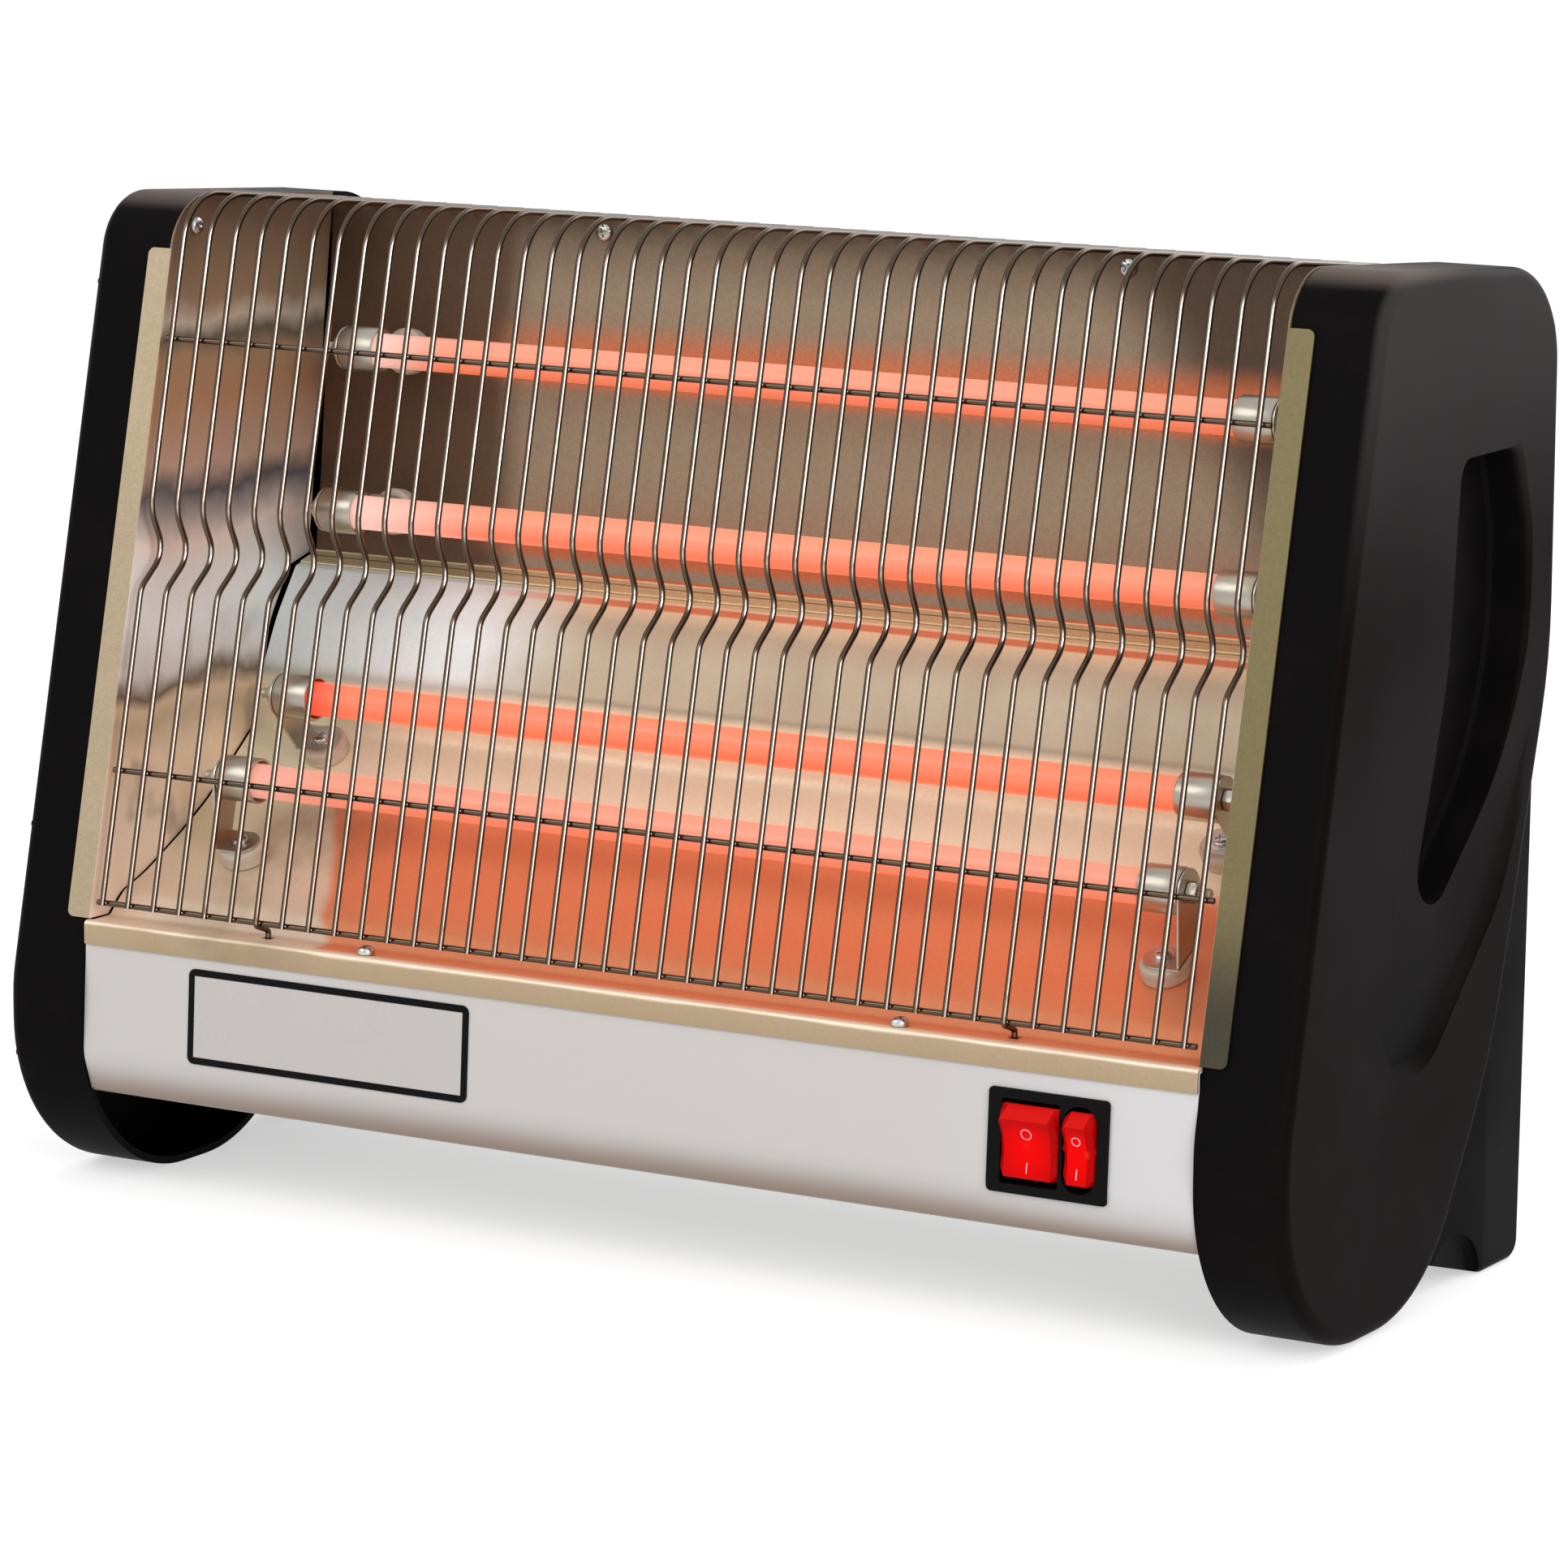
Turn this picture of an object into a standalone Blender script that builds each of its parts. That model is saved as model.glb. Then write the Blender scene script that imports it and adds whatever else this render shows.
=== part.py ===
"""Electric heater with four quartz tubes behind a bent wire guard.

Metres, +Z up, the front faces -Y. While the pieces are drawn, y runs back from
the tray's lip; at the end everything hangs from one empty that centres the depth.
"""
import math

import bmesh
import bpy
from mathutils import Matrix, Vector
from mathutils.geometry import convex_hull_2d

# Clearances and sheet
GAP = 0.0003
SHEET = 0.0008
SHEET_BEND = 0.0016
CUT_MARGIN = 0.002
CUT_DEPTH = 0.018
ARC_STEP_DEG = 14.0
HIDDEN_STEP_DEG = 26.0

# Whole body and the outline of its sides
BODY_WIDTH = 0.580
PANEL_WIDTH = 0.037
PANEL_HEIGHT = 0.4018
TOP_FALL = 0.0107
TOP_REAR_SETBACK = 0.001
TOE_Y = -0.0028
SHIN_HEIGHT = 0.0857
FRONT_LEAN_DEG = 12.9
REAR_Y = 0.225
BELLY_HEIGHT = 0.238
HEEL_Y = 0.178
HEEL_HEIGHT = 0.086
LOBE_Y = 0.121
TOE_RADIUS = 0.070
SHIN_RADIUS = 0.060
LOBE_RADIUS = 0.072
HEEL_RADIUS = 0.200
BELLY_RADIUS = 0.150
TOP_REAR_RADIUS = 0.040
TOP_FRONT_RADIUS = 0.026

# Side panels
PANEL_WALL = 0.003
PANEL_EDGE = 0.006
LEG_INSET = 0.006
LEG_EDGE = 0.003
LEG_FRONT_Y = 0.186
LEG_FOOT_LENGTH = 0.0325
LEG_TOP_Y = 0.2225
LEG_TOP_HEIGHT = 0.240
LEG_HOLLOW_ROOF = 0.009
LEG_TOE_RADIUS = 0.004
LEG_HEEL_RADIUS = 0.008
LEG_TOP_RADIUS = 0.030
LEG_ROOT_SETBACK = 0.030
LEG_ROOT_RISE = 0.060
HEEL_ROOT_SETBACK = 0.040
HEEL_ROOT_RISE = 0.030
ARCH_SETBACK = 0.006
ARCH_RISE = 0.0197
LEG_TAPER_RATIO = 0.10
LEG_TAPER_REACH = 0.020
LEG_TAPER_RISE = 0.090
SCOOP_RADIUS = 0.020
SCOOP_DEPTH = 0.004
SCOOP_Y = 0.163
RIB_THICKNESS = 0.0018
RIB_SETBACK = 0.010
RIB_RISE = 0.006
LOW_RIB_SHARE = 0.62
MIDDLE_RIB_SHARE = 1.7
HIGH_RIB_SHARE = 0.90
BOSS_RADIUS = 0.0048
TOE_BOSS_INSET = 0.020
TOP_BOSS_INSET = 0.018
TOP_BOSS_DROP = 0.060
HEEL_BOSS_INSET = 0.014
HEEL_BOSS_RISE = 0.022

# Handle pocket and the swept recess round it, both hung from the panel's top
POCKET_DEPTH = 0.017
POCKET_DRAFT = 0.003
POCKET_DROP = 0.0768
POCKET_LENGTH = 0.1976
POCKET_FRONT_Y = 0.1376
POCKET_REAR_Y = 0.199
POCKET_TIP_REACH = 0.0415
POCKET_TIP_RADIUS = 0.015
POCKET_REAR_DROP = 0.106
POCKET_REAR_RADIUS = 0.116
POCKET_SHOULDER = 0.033
POCKET_SHOULDER_INSET = 0.011
POCKET_SHOULDER_RADIUS = 0.030
POCKET_TOP_RADIUS = 0.0085
POCKET_WAIST_DROP = 0.077
POCKET_WAIST_REACH = 0.0075
POCKET_WAIST_RADIUS = 0.100
SWEEP_DEPTH = 0.0044
SWEEP_WALL = 0.0040
SWEEP_DROP = 0.1568
SWEEP_LENGTH = 0.149
SWEEP_LINE = (
    (0.0760, -0.1480, 0.030),
    (0.1180, -0.1500, 0.032),
    (0.1790, -0.0950, 0.060),
    (0.2150, -0.0260, 0.040),
    (0.2180, 0.0300, 0.0),
    (0.1140, 0.0300, 0.0),
    (0.0880, -0.0760, 0.050),
    (0.0745, -0.1020, 0.030),
)

# Heating chamber
REFLECTOR_END_GAP = 0.0044
REFLECTOR_TOP_INSET = 0.0475
REFLECTOR_TOP_DROP = 0.0045
LEDGE_BACK_Y = 0.1589
LEDGE_HEIGHT = 0.2441
LEDGE_DEPTH = 0.0143
LEDGE_FALL = 0.0037
LEDGE_ROLL_DEPTH = 0.0133
LEDGE_ROLL_DROP = 0.020
LEDGE_LAP = 0.003
FOLD_Y = 0.122
FOLD_HEIGHT = 0.199
FOLD_SETBACK = 0.003
FOLD_DROP = 0.021
DISH_SHARES = ((0.6625, 0.5774), (0.4904, 0.4149), (0.2442, 0.2167), (0.0885, 0.1285))
TRAY_HEIGHT = 0.1134
TRAY_DEPTH = 0.015
LIP_HEIGHT = 0.0094
LIP_OVERLAP = 0.004
CHEEK_FLANGE = 0.0100
CHEEK_FLANGE_DROP = 0.0220
CHEEK_CORNER = 0.0025

# Guard grille
WIRE = 0.0024
WIRE_COUNT = 40
WIRE_SIDE_GAP = 0.002
LOW_CROSS_RISE = 0.0071
MIDDLE_CROSS_RISE = 0.0596
HIGH_CROSS_DROP = 0.0573
KINK_START = 0.0024
KINK_MIDDLE = 0.0169
KINK_END = 0.0314
KINK_DEPTH = 0.0118
GRILLE_TOP_RADIUS = 0.022
GRILLE_TOP_SLOPE_DEG = 6.0
CROSS_OVERHANG = 0.0028
HOOK_WIRES = (6, 33)
HOOK_LENGTH = 0.0045
HOOK_STEP = 0.0065
HOOK_PLAY = 0.0010

# Heating tubes, their clips, caps and ceramic buttons, from the top tube down
TUBE_RADIUS = 0.0070
TUBE_WALL = 0.0014
TUBE_SEAT = 0.0055
COIL_RADIUS = 0.0035
RING_LENGTH = 0.017
RING_RADIUS = 0.0093
RING_WALL = 0.0010
CUP_SIDES = 10
STRAP = 0.0010
FOOT_WIDTH = 0.0130
FOOT_RADIUS = 0.0075
STUD_RADIUS = 0.0021
STUD_PLAY = 0.0004
STUD_LENGTH = 0.0045
NUT_RADIUS = 0.0046
NUT_LENGTH = 0.0040
BUTTON_RADIUS = 0.0097
BUTTON_HEIGHT = 0.0068
UPPER_SEAT_SHARES = (0.5937, 0.1393)
LOWER_SEAT_SHARES = (0.8808, 0.3266)
STANDOFFS = (0.0352, 0.0417, 0.0331, 0.0328)
TUBE_LEANS_DEG = (0.0, 0.0, 0.0, -24.6)
RING_INSETS = (0.0456, 0.0450, 0.0440, 0.0407)

# Fascia, base and rear cover; the bow's shares are of the fascia's height under the lip
FASCIA_BOW_SHARE = 0.0968
FASCIA_BOW_RISE_SHARE = 0.5032
FASCIA_RADIUS_SHARE = 1.6935
FASCIA_FOOT_SHARE = 0.0677
FASCIA_FOOT_RADIUS = 0.0035
FASCIA_LIP_RADIUS = 0.004
FASCIA_FLANGE = 0.022
FASCIA_TOP_SETBACK = 0.003
BASE_HEIGHT = 0.042
BASE_MARGIN = 0.0045
COVER_INSET = 0.0045
COVER_FOOT_INSET = 0.0035
COVER_FOOT_RADIUS = 0.003
COVER_BELLY_RISE = 0.010
COVER_DROP = 0.0030
COVER_FLANGE = 0.020
COVER_TOP_FLANGE = 0.014
LOUVRE_LENGTH = 0.150
LOUVRE_OPENING = 0.0045
LOUVRE_REACH = 0.0032
LOUVRE_PITCH = 0.016
LOUVRE_ROWS_LOW = 4
LOUVRE_ROWS_HIGH = 4
LOUVRE_LOW_START = 0.110
LOUVRE_HIGH_DROP = 0.0538
LOUVRE_HOOD_LAP = 0.002
LOUVRE_COLUMNS = 2
LOUVRE_MARGIN = 0.070
VENT_LENGTH = 0.060
VENT_WIDTH = 0.005
VENT_COUNT = 8
VENT_MARGIN = 0.0952

# Switches
PLATE_INSET = 0.0607
PLATE_WIDTH = 0.050
PLATE_HEIGHT = 0.040
PLATE_SHARE = 0.5645
PLATE_PROUD = 0.0012
PLATE_CORNER = 0.002
WIDE_ROCKER_OFFSET = -0.008
WIDE_ROCKER_WIDTH = 0.024
NARROW_ROCKER_OFFSET = 0.013
NARROW_ROCKER_WIDTH = 0.0126
ROCKER_HALF_HEIGHT = 0.0146
ROCKER_CROWN = 0.0040
ROCKER_BELLY = 0.0027
ROCKER_TILT_DEG = 7.0
ROCKER_SIDE_PLAY = 0.00035
ROCKER_END_PLAY = 0.0004
OVAL_PLAY = 0.0005
PIVOT_RADIUS = 0.0015
PIVOT_PLAY = 0.00015
SWITCH_WALL = 0.0008
SWITCH_DEPTH = 0.018
SWITCH_WELL = 0.011
BLADE_LENGTH = 0.007
BLADE_HALF_WIDTH = 0.0024
BLADE_HALF_THICKNESS = 0.0004
BLADE_SPREAD = 0.007

# Fasteners, terminals and the cord's inlet
SCREW_HEAD_RADIUS = 0.0036
SCREW_HEAD_HEIGHT = 0.0022
SCREW_RADIUS = 0.0014
SCREW_PLAY = 0.0004
SCREW_LENGTH = 0.006
LEFT_REFLECTOR_SCREW_INSET = 0.1315
RIGHT_REFLECTOR_SCREW_INSET = 0.1215
REFLECTOR_SCREW_DROP = 0.0052
LEFT_TRAY_SCREW_INSET = 0.1285
RIGHT_TRAY_SCREW_INSET = 0.1238
TRAY_SCREW_Y = 0.0058
SIDE_SCREW_SETBACK = 0.0136
SIDE_SCREW_DROP = 0.0138
BLOCK_OFFSET = -0.032
BLOCK_Y = 0.095
BLOCK_WIDTH = 0.038
BLOCK_DEPTH = 0.018
BLOCK_HEIGHT = 0.015
BLOCK_GROOVE_SHARE = 0.35
BLOCK_WEB_SHARE = 0.70
HARNESS_RADIUS = 0.0026
GLAND_INSET = 0.0627
GLAND_HEIGHT = 0.075
GLAND_BORE = 0.0038
GLAND_NECK = 0.0057
GLAND_FLANGE = 0.0092
GLAND_REACH = 0.0035
GLAND_NUT = 0.004
GLAND_TAIL = 0.009

LEAN = math.radians(FRONT_LEAN_DEG)
PANEL_INNER = BODY_WIDTH / 2 - PANEL_WIDTH
CHEEK_OUTER = PANEL_INNER - GAP
CHEEK_INNER = CHEEK_OUTER - SHEET
REFLECTOR_HALF = CHEEK_INNER - REFLECTOR_END_GAP
SHELL_HALF = PANEL_INNER - GAP
GRILLE_HALF = REFLECTOR_HALF - WIRE_SIDE_GAP
POCKET_TOP = PANEL_HEIGHT - POCKET_DROP
SWEEP_TOP = PANEL_HEIGHT - SWEEP_DROP
CHEEK_FLANGE_TOP = PANEL_HEIGHT - CHEEK_FLANGE_DROP
CROSS_HEIGHTS = (TRAY_HEIGHT + LOW_CROSS_RISE, TRAY_HEIGHT + MIDDLE_CROSS_RISE, PANEL_HEIGHT - HIGH_CROSS_DROP)
FASCIA_HEIGHT = TRAY_HEIGHT - LIP_HEIGHT - BASE_HEIGHT
PLATE_CENTRE = BASE_HEIGHT + FASCIA_HEIGHT * PLATE_SHARE
PLATE_X = SHELL_HALF - PLATE_INSET
WIDE_ROCKER_X = PLATE_X + WIDE_ROCKER_OFFSET
NARROW_ROCKER_X = PLATE_X + NARROW_ROCKER_OFFSET
BLOCK_X = PLATE_X + BLOCK_OFFSET


def rounded(corners, inset=0.0, closed=True, step_deg=ARC_STEP_DEG):
    """Points along straight runs joined by arcs; corners are (a, b, radius), inset to the left."""
    spots = [Vector(corner[:2]) for corner in corners]
    count = len(spots)
    points = []
    for index, corner in enumerate(corners):
        if not closed and index in (0, count - 1):
            points.append(spots[index])
            continue
        before = (spots[index] - spots[index - 1]).normalized()
        after = (spots[(index + 1) % count] - spots[index]).normalized()
        turn = math.atan2(before.x * after.y - before.y * after.x, before.dot(after))
        side = 1.0 if turn > 0 else -1.0
        left_before = Vector((-before.y, before.x))
        left_after = Vector((-after.y, after.x))
        spot = spots[index] + (left_before + left_after) * (inset / (1.0 + left_before.dot(left_after)))
        if corner[2] == 0:
            points.append(spot)
            continue
        radius = max(corner[2] - inset * side, GAP)
        start = spot - before * radius * math.tan(abs(turn) / 2)
        centre = start + left_before * side * radius
        steps = max(1, round(math.degrees(abs(turn)) / step_deg))
        for k in range(steps + 1):
            arm = Matrix.Rotation(turn * k / steps, 2) @ (start - centre)
            points.append(centre + arm)
    return points


def shifted(path, distance):
    """An open path moved to its left by a distance, with mitred corners."""
    lefts = []
    for start, end in zip(path, path[1:]):
        run = (end - start).normalized()
        lefts.append(Vector((-run.y, run.x)))
    moved = []
    for index, point in enumerate(path):
        first = lefts[max(index - 1, 0)]
        second = lefts[min(index, len(lefts) - 1)]
        moved.append(point + (first + second) * (distance / (1.0 + first.dot(second))))
    return moved


def meet(point, run, other_point, other_run):
    """Where two lines in the plane cross."""
    across = run.x * other_run.y - run.y * other_run.x
    to_other = other_point - point
    return point + run * ((to_other.x * other_run.y - to_other.y * other_run.x) / across)


def at(axis, level, point):
    """A flat point (a, b) put at a level along X, Y or Z."""
    if axis == "X":
        return Vector((level, point[0], point[1]))
    if axis == "Y":
        return Vector((point[0], level, point[1]))
    return Vector((point[0], point[1], level))


def loft(rings):
    """A closed solid through matching rings of 3-D points."""
    shape = bmesh.new()
    loops = [[shape.verts.new(point) for point in ring] for ring in rings]
    size = len(loops[0])
    for low, high in zip(loops, loops[1:]):
        for i in range(size):
            j = (i + 1) % size
            shape.faces.new((low[i], low[j], high[j], high[i]))
    shape.faces.new(loops[0])
    shape.faces.new(list(reversed(loops[-1])))
    bmesh.ops.recalc_face_normals(shape, faces=shape.faces)
    return shape


def slab(outline, axis, low, high):
    """A flat outline extruded along an axis."""
    shape = bmesh.new()
    ring = [shape.verts.new(at(axis, low, point)) for point in outline]
    face = shape.faces.new(ring)
    grown = bmesh.ops.extrude_face_region(shape, geom=[face])
    tops = [item for item in grown["geom"] if isinstance(item, bmesh.types.BMVert)]
    bmesh.ops.translate(shape, verts=tops, vec=at(axis, high - low, (0, 0)))
    bmesh.ops.recalc_face_normals(shape, faces=shape.faces)
    return shape


def sheet_outline(path, thickness=SHEET):
    """The section of a bent sheet: its face path and the same path one thickness to the left."""
    return path + list(reversed(shifted(path, thickness)))


def turned(profile, steps, closed=False):
    """A shape spun round Z from (radius, height) points."""
    shape = bmesh.new()
    verts = [shape.verts.new((radius, 0, height)) for radius, height in profile]
    pairs = list(zip(verts, verts[1:]))
    if closed:
        pairs.append((verts[-1], verts[0]))
    edges = [shape.edges.new(pair) for pair in pairs]
    bmesh.ops.spin(shape, geom=verts + edges, cent=(0, 0, 0), axis=(0, 0, 1),
                   angle=math.tau, steps=steps, use_merge=True)
    bmesh.ops.remove_doubles(shape, verts=shape.verts, dist=1e-7)
    bmesh.ops.recalc_face_normals(shape, faces=shape.faces)
    return shape


def placed(shape, spot, axis=(0, 0, 1)):
    """Turns a shape's Z to an axis and moves its origin to a spot."""
    turn = Vector((0, 0, 1)).rotation_difference(Vector(axis)).to_matrix().to_4x4()
    bmesh.ops.transform(shape, matrix=Matrix.Translation(spot) @ turn, verts=shape.verts)
    return shape


def rod(radius, start, end, steps=12):
    """A plain cylinder between two points."""
    run = Vector(end) - Vector(start)
    profile = [(0, 0), (radius, 0), (radius, run.length), (0, run.length)]
    return placed(turned(profile, steps), Vector(start), run.normalized())


def joined(shapes):
    """Several separate shapes in one mesh, for use as a cutter or an addition."""
    whole = bmesh.new()
    for shape in shapes:
        mesh = bpy.data.meshes.new("part")
        shape.to_mesh(mesh)
        whole.from_mesh(mesh)
        bpy.data.meshes.remove(mesh)
        shape.free()
    return whole


def combine(body, tool, operation):
    """Joins ("UNION"), cuts ("DIFFERENCE") or crosses ("INTERSECT") two closed shapes."""
    holders = []
    for shape in (body, tool):
        mesh = bpy.data.meshes.new("part")
        shape.to_mesh(mesh)
        shape.free()
        holder = bpy.data.objects.new("part", mesh)
        bpy.context.scene.collection.objects.link(holder)
        holders.append(holder)
    modifier = holders[0].modifiers.new("combine", "BOOLEAN")
    modifier.operation = operation
    modifier.solver = "EXACT"
    modifier.object = holders[1]
    graph = bpy.context.evaluated_depsgraph_get()
    mesh = bpy.data.meshes.new_from_object(holders[0].evaluated_get(graph))
    result = bmesh.new()
    result.from_mesh(mesh)
    bpy.data.meshes.remove(mesh)
    for holder in holders:
        holder_mesh = holder.data
        bpy.data.objects.remove(holder)
        bpy.data.meshes.remove(holder_mesh)
    bmesh.ops.remove_doubles(result, verts=result.verts, dist=1e-6)
    bmesh.ops.dissolve_limit(result, angle_limit=math.radians(0.2),
                             verts=result.verts, edges=result.edges)
    return result


def mirrored(shape):
    """The same shape on the other side of the middle."""
    copy = shape.copy()
    bmesh.ops.scale(copy, vec=(-1, 1, 1), verts=copy.verts)
    bmesh.ops.reverse_faces(copy, faces=copy.faces)
    return copy


def finish(name, colour, roughness, metallic=0.0):
    """A plain material with the piece's colour, roughness and metallic value."""
    material = bpy.data.materials.new(name)
    material.use_nodes = True
    shader = material.node_tree.nodes["Principled BSDF"]
    shader.inputs["Base Color"].default_value = (*colour, 1.0)
    shader.inputs["Roughness"].default_value = roughness
    shader.inputs["Metallic"].default_value = metallic
    return material


def add_piece(name, shape, look, pivot=(0, 0, 0)):
    """One named object whose origin lies at its pivot."""
    bmesh.ops.translate(shape, verts=shape.verts, vec=-Vector(pivot))
    mesh = bpy.data.meshes.new(name)
    shape.to_mesh(mesh)
    shape.free()
    mesh.shade_smooth()
    mesh.set_sharp_from_angle(angle=math.radians(32))
    mesh.materials.append(finish(name, *look))
    piece = bpy.data.objects.new(name, mesh)
    piece.location = pivot
    bpy.context.scene.collection.objects.link(piece)
    pieces.append(piece)
    return piece


def add_pair(stem, shape, look):
    """The right piece and its mirror image on the left."""
    add_piece("left_" + stem, mirrored(shape), look)
    add_piece("right_" + stem, shape, look)


# The outline of the sides and the lines that other pieces take from it

def front_point(height, out=0.0):
    """A point at a height on the leaning front line, moved forward square to it."""
    along = TOE_Y + (height - SHIN_HEIGHT) * math.tan(LEAN)
    return Vector((along - out * math.cos(LEAN), height + out * math.sin(LEAN)))


TOP_FRONT = front_point(PANEL_HEIGHT)
TOP_REAR = Vector((REAR_Y - TOP_REAR_SETBACK, PANEL_HEIGHT - TOP_FALL))
TOP_RUN = (TOP_REAR - TOP_FRONT).normalized()
FRONT_RUN = Vector((math.sin(LEAN), math.cos(LEAN)))


def top_height(along):
    """Height of the panels' top line at a depth."""
    return TOP_FRONT.y + (along - TOP_FRONT.x) * TOP_RUN.y / TOP_RUN.x


def side_corners():
    """The rounded outline of a side panel, without its leg."""
    return [
        (TOE_Y, 0, TOE_RADIUS),
        (LOBE_Y, 0, LOBE_RADIUS),
        (HEEL_Y, HEEL_HEIGHT, HEEL_RADIUS),
        (REAR_Y, BELLY_HEIGHT, BELLY_RADIUS),
        (TOP_REAR.x, TOP_REAR.y, TOP_REAR_RADIUS),
        (TOP_FRONT.x, TOP_FRONT.y, TOP_FRONT_RADIUS),
        (TOE_Y, SHIN_HEIGHT, SHIN_RADIUS),
    ]


def leg_corners():
    """The rear leg: its foot, its back edge and the part hidden in the panel."""
    foot_rear = LEG_FRONT_Y + LEG_FOOT_LENGTH
    return [
        (LEG_FRONT_Y, 0, LEG_TOE_RADIUS),
        (foot_rear, 0, LEG_HEEL_RADIUS),
        (LEG_TOP_Y, LEG_TOP_HEIGHT, LEG_TOP_RADIUS),
        (REAR_Y - LEG_ROOT_SETBACK, LEG_TOP_HEIGHT + LEG_ROOT_RISE, 0),
        (HEEL_Y - HEEL_ROOT_SETBACK, HEEL_HEIGHT + HEEL_ROOT_RISE, 0),
        (LOBE_Y - ARCH_SETBACK, ARCH_RISE, 0),
    ]


def pocket_corners():
    """The handle pocket: upright at the rear, drawn to a round tip low at the front."""
    return [
        (POCKET_FRONT_Y - POCKET_TIP_REACH, POCKET_TOP - POCKET_LENGTH, POCKET_TIP_RADIUS),
        (POCKET_REAR_Y, POCKET_TOP - POCKET_REAR_DROP, POCKET_REAR_RADIUS),
        (POCKET_REAR_Y, POCKET_TOP - POCKET_SHOULDER, POCKET_SHOULDER_RADIUS),
        (POCKET_REAR_Y - POCKET_SHOULDER_INSET, POCKET_TOP, POCKET_TOP_RADIUS),
        (POCKET_FRONT_Y, POCKET_TOP, POCKET_TOP_RADIUS),
        (POCKET_FRONT_Y - POCKET_WAIST_REACH, POCKET_TOP - POCKET_WAIST_DROP, POCKET_WAIST_RADIUS),
    ]


def sweep_corners():
    """The swept recess: a long thumb shape that fades out at its top."""
    return [(along, SWEEP_TOP + rise, radius) for along, rise, radius in SWEEP_LINE]


# Heating chamber

def reflector_lines():
    """Face paths of the upper and lower reflectors, from the top down."""
    top_y = REAR_Y - REFLECTOR_TOP_INSET
    top = Vector((top_y, top_height(top_y) - REFLECTOR_TOP_DROP))
    ledge_back = Vector((LEDGE_BACK_Y, LEDGE_HEIGHT))
    ledge_front = Vector((LEDGE_BACK_Y - LEDGE_DEPTH, LEDGE_HEIGHT - LEDGE_FALL))
    ledge_run = (ledge_front - ledge_back).normalized()
    ledge_up = Vector((ledge_run.y, -ledge_run.x))
    lap = ledge_up * (SHEET + GAP)
    upper = [top, ledge_back + lap, ledge_front + lap - ledge_run * LEDGE_LAP]
    fold = Vector((FOLD_Y, FOLD_HEIGHT))
    tray_rear = Vector((TRAY_DEPTH, TRAY_HEIGHT))
    dish = fold - Vector((FOLD_SETBACK, FOLD_DROP)) - tray_rear
    lower_corners = [
        (ledge_back.x, ledge_back.y, 0),
        (ledge_front.x, ledge_front.y, SHEET_BEND),
        (ledge_front.x - LEDGE_ROLL_DEPTH, ledge_front.y - LEDGE_ROLL_DROP, 0),
        (fold.x, fold.y, 0),
        (fold.x - FOLD_SETBACK, fold.y - FOLD_DROP, 0),
        *[(tray_rear.x + dish.x * along, tray_rear.y + dish.y * up, 0) for along, up in DISH_SHARES],
        (tray_rear.x, tray_rear.y, SHEET_BEND * 2),
        (0, TRAY_HEIGHT, SHEET_BEND),
        (0, TRAY_HEIGHT - LIP_HEIGHT, 0),
    ]
    lower = rounded(lower_corners, closed=False, step_deg=30)
    return upper, lower


UPPER_PATH, LOWER_PATH = reflector_lines()


def seat_on(path, height):
    """The point at a height on a reflector's face, its run and the direction square to it."""
    for start, end in zip(path, path[1:]):
        if min(start.y, end.y) <= height <= max(start.y, end.y) and start.y != end.y:
            run = (end - start).normalized()
            spot = start + (end - start) * ((height - start.y) / (end.y - start.y))
            return spot, run, Vector((run.y, -run.x))
    return path[0], Vector((0, -1)), Vector((-1, 0))


def tube_places():
    """For each tube: its seat on the sheet, the sheet's directions and the ring's centre."""
    dish_top = FOLD_HEIGHT - FOLD_DROP
    upper_span = UPPER_PATH[0].y - LEDGE_HEIGHT
    lower_span = dish_top - TRAY_HEIGHT
    rows = [(UPPER_PATH, LEDGE_HEIGHT + upper_span * share) for share in UPPER_SEAT_SHARES]
    rows += [(LOWER_PATH, TRAY_HEIGHT + lower_span * share) for share in LOWER_SEAT_SHARES]
    places = []
    for index, (path, height) in enumerate(rows):
        seat, run, normal = seat_on(path, height)
        arm = Matrix.Rotation(math.radians(TUBE_LEANS_DEG[index]), 2) @ normal
        places.append({"seat": seat, "run": run, "normal": normal,
                       "ring": seat + arm * STANDOFFS[index], "ring_x": CHEEK_INNER - RING_INSETS[index]})
    return places


def side_screw_spot():
    """Where the screws through the cheeks sit, in depth and height."""
    height = PANEL_HEIGHT - SIDE_SCREW_DROP
    return Vector((front_point(height).x + SIDE_SCREW_SETBACK, height))


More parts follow.
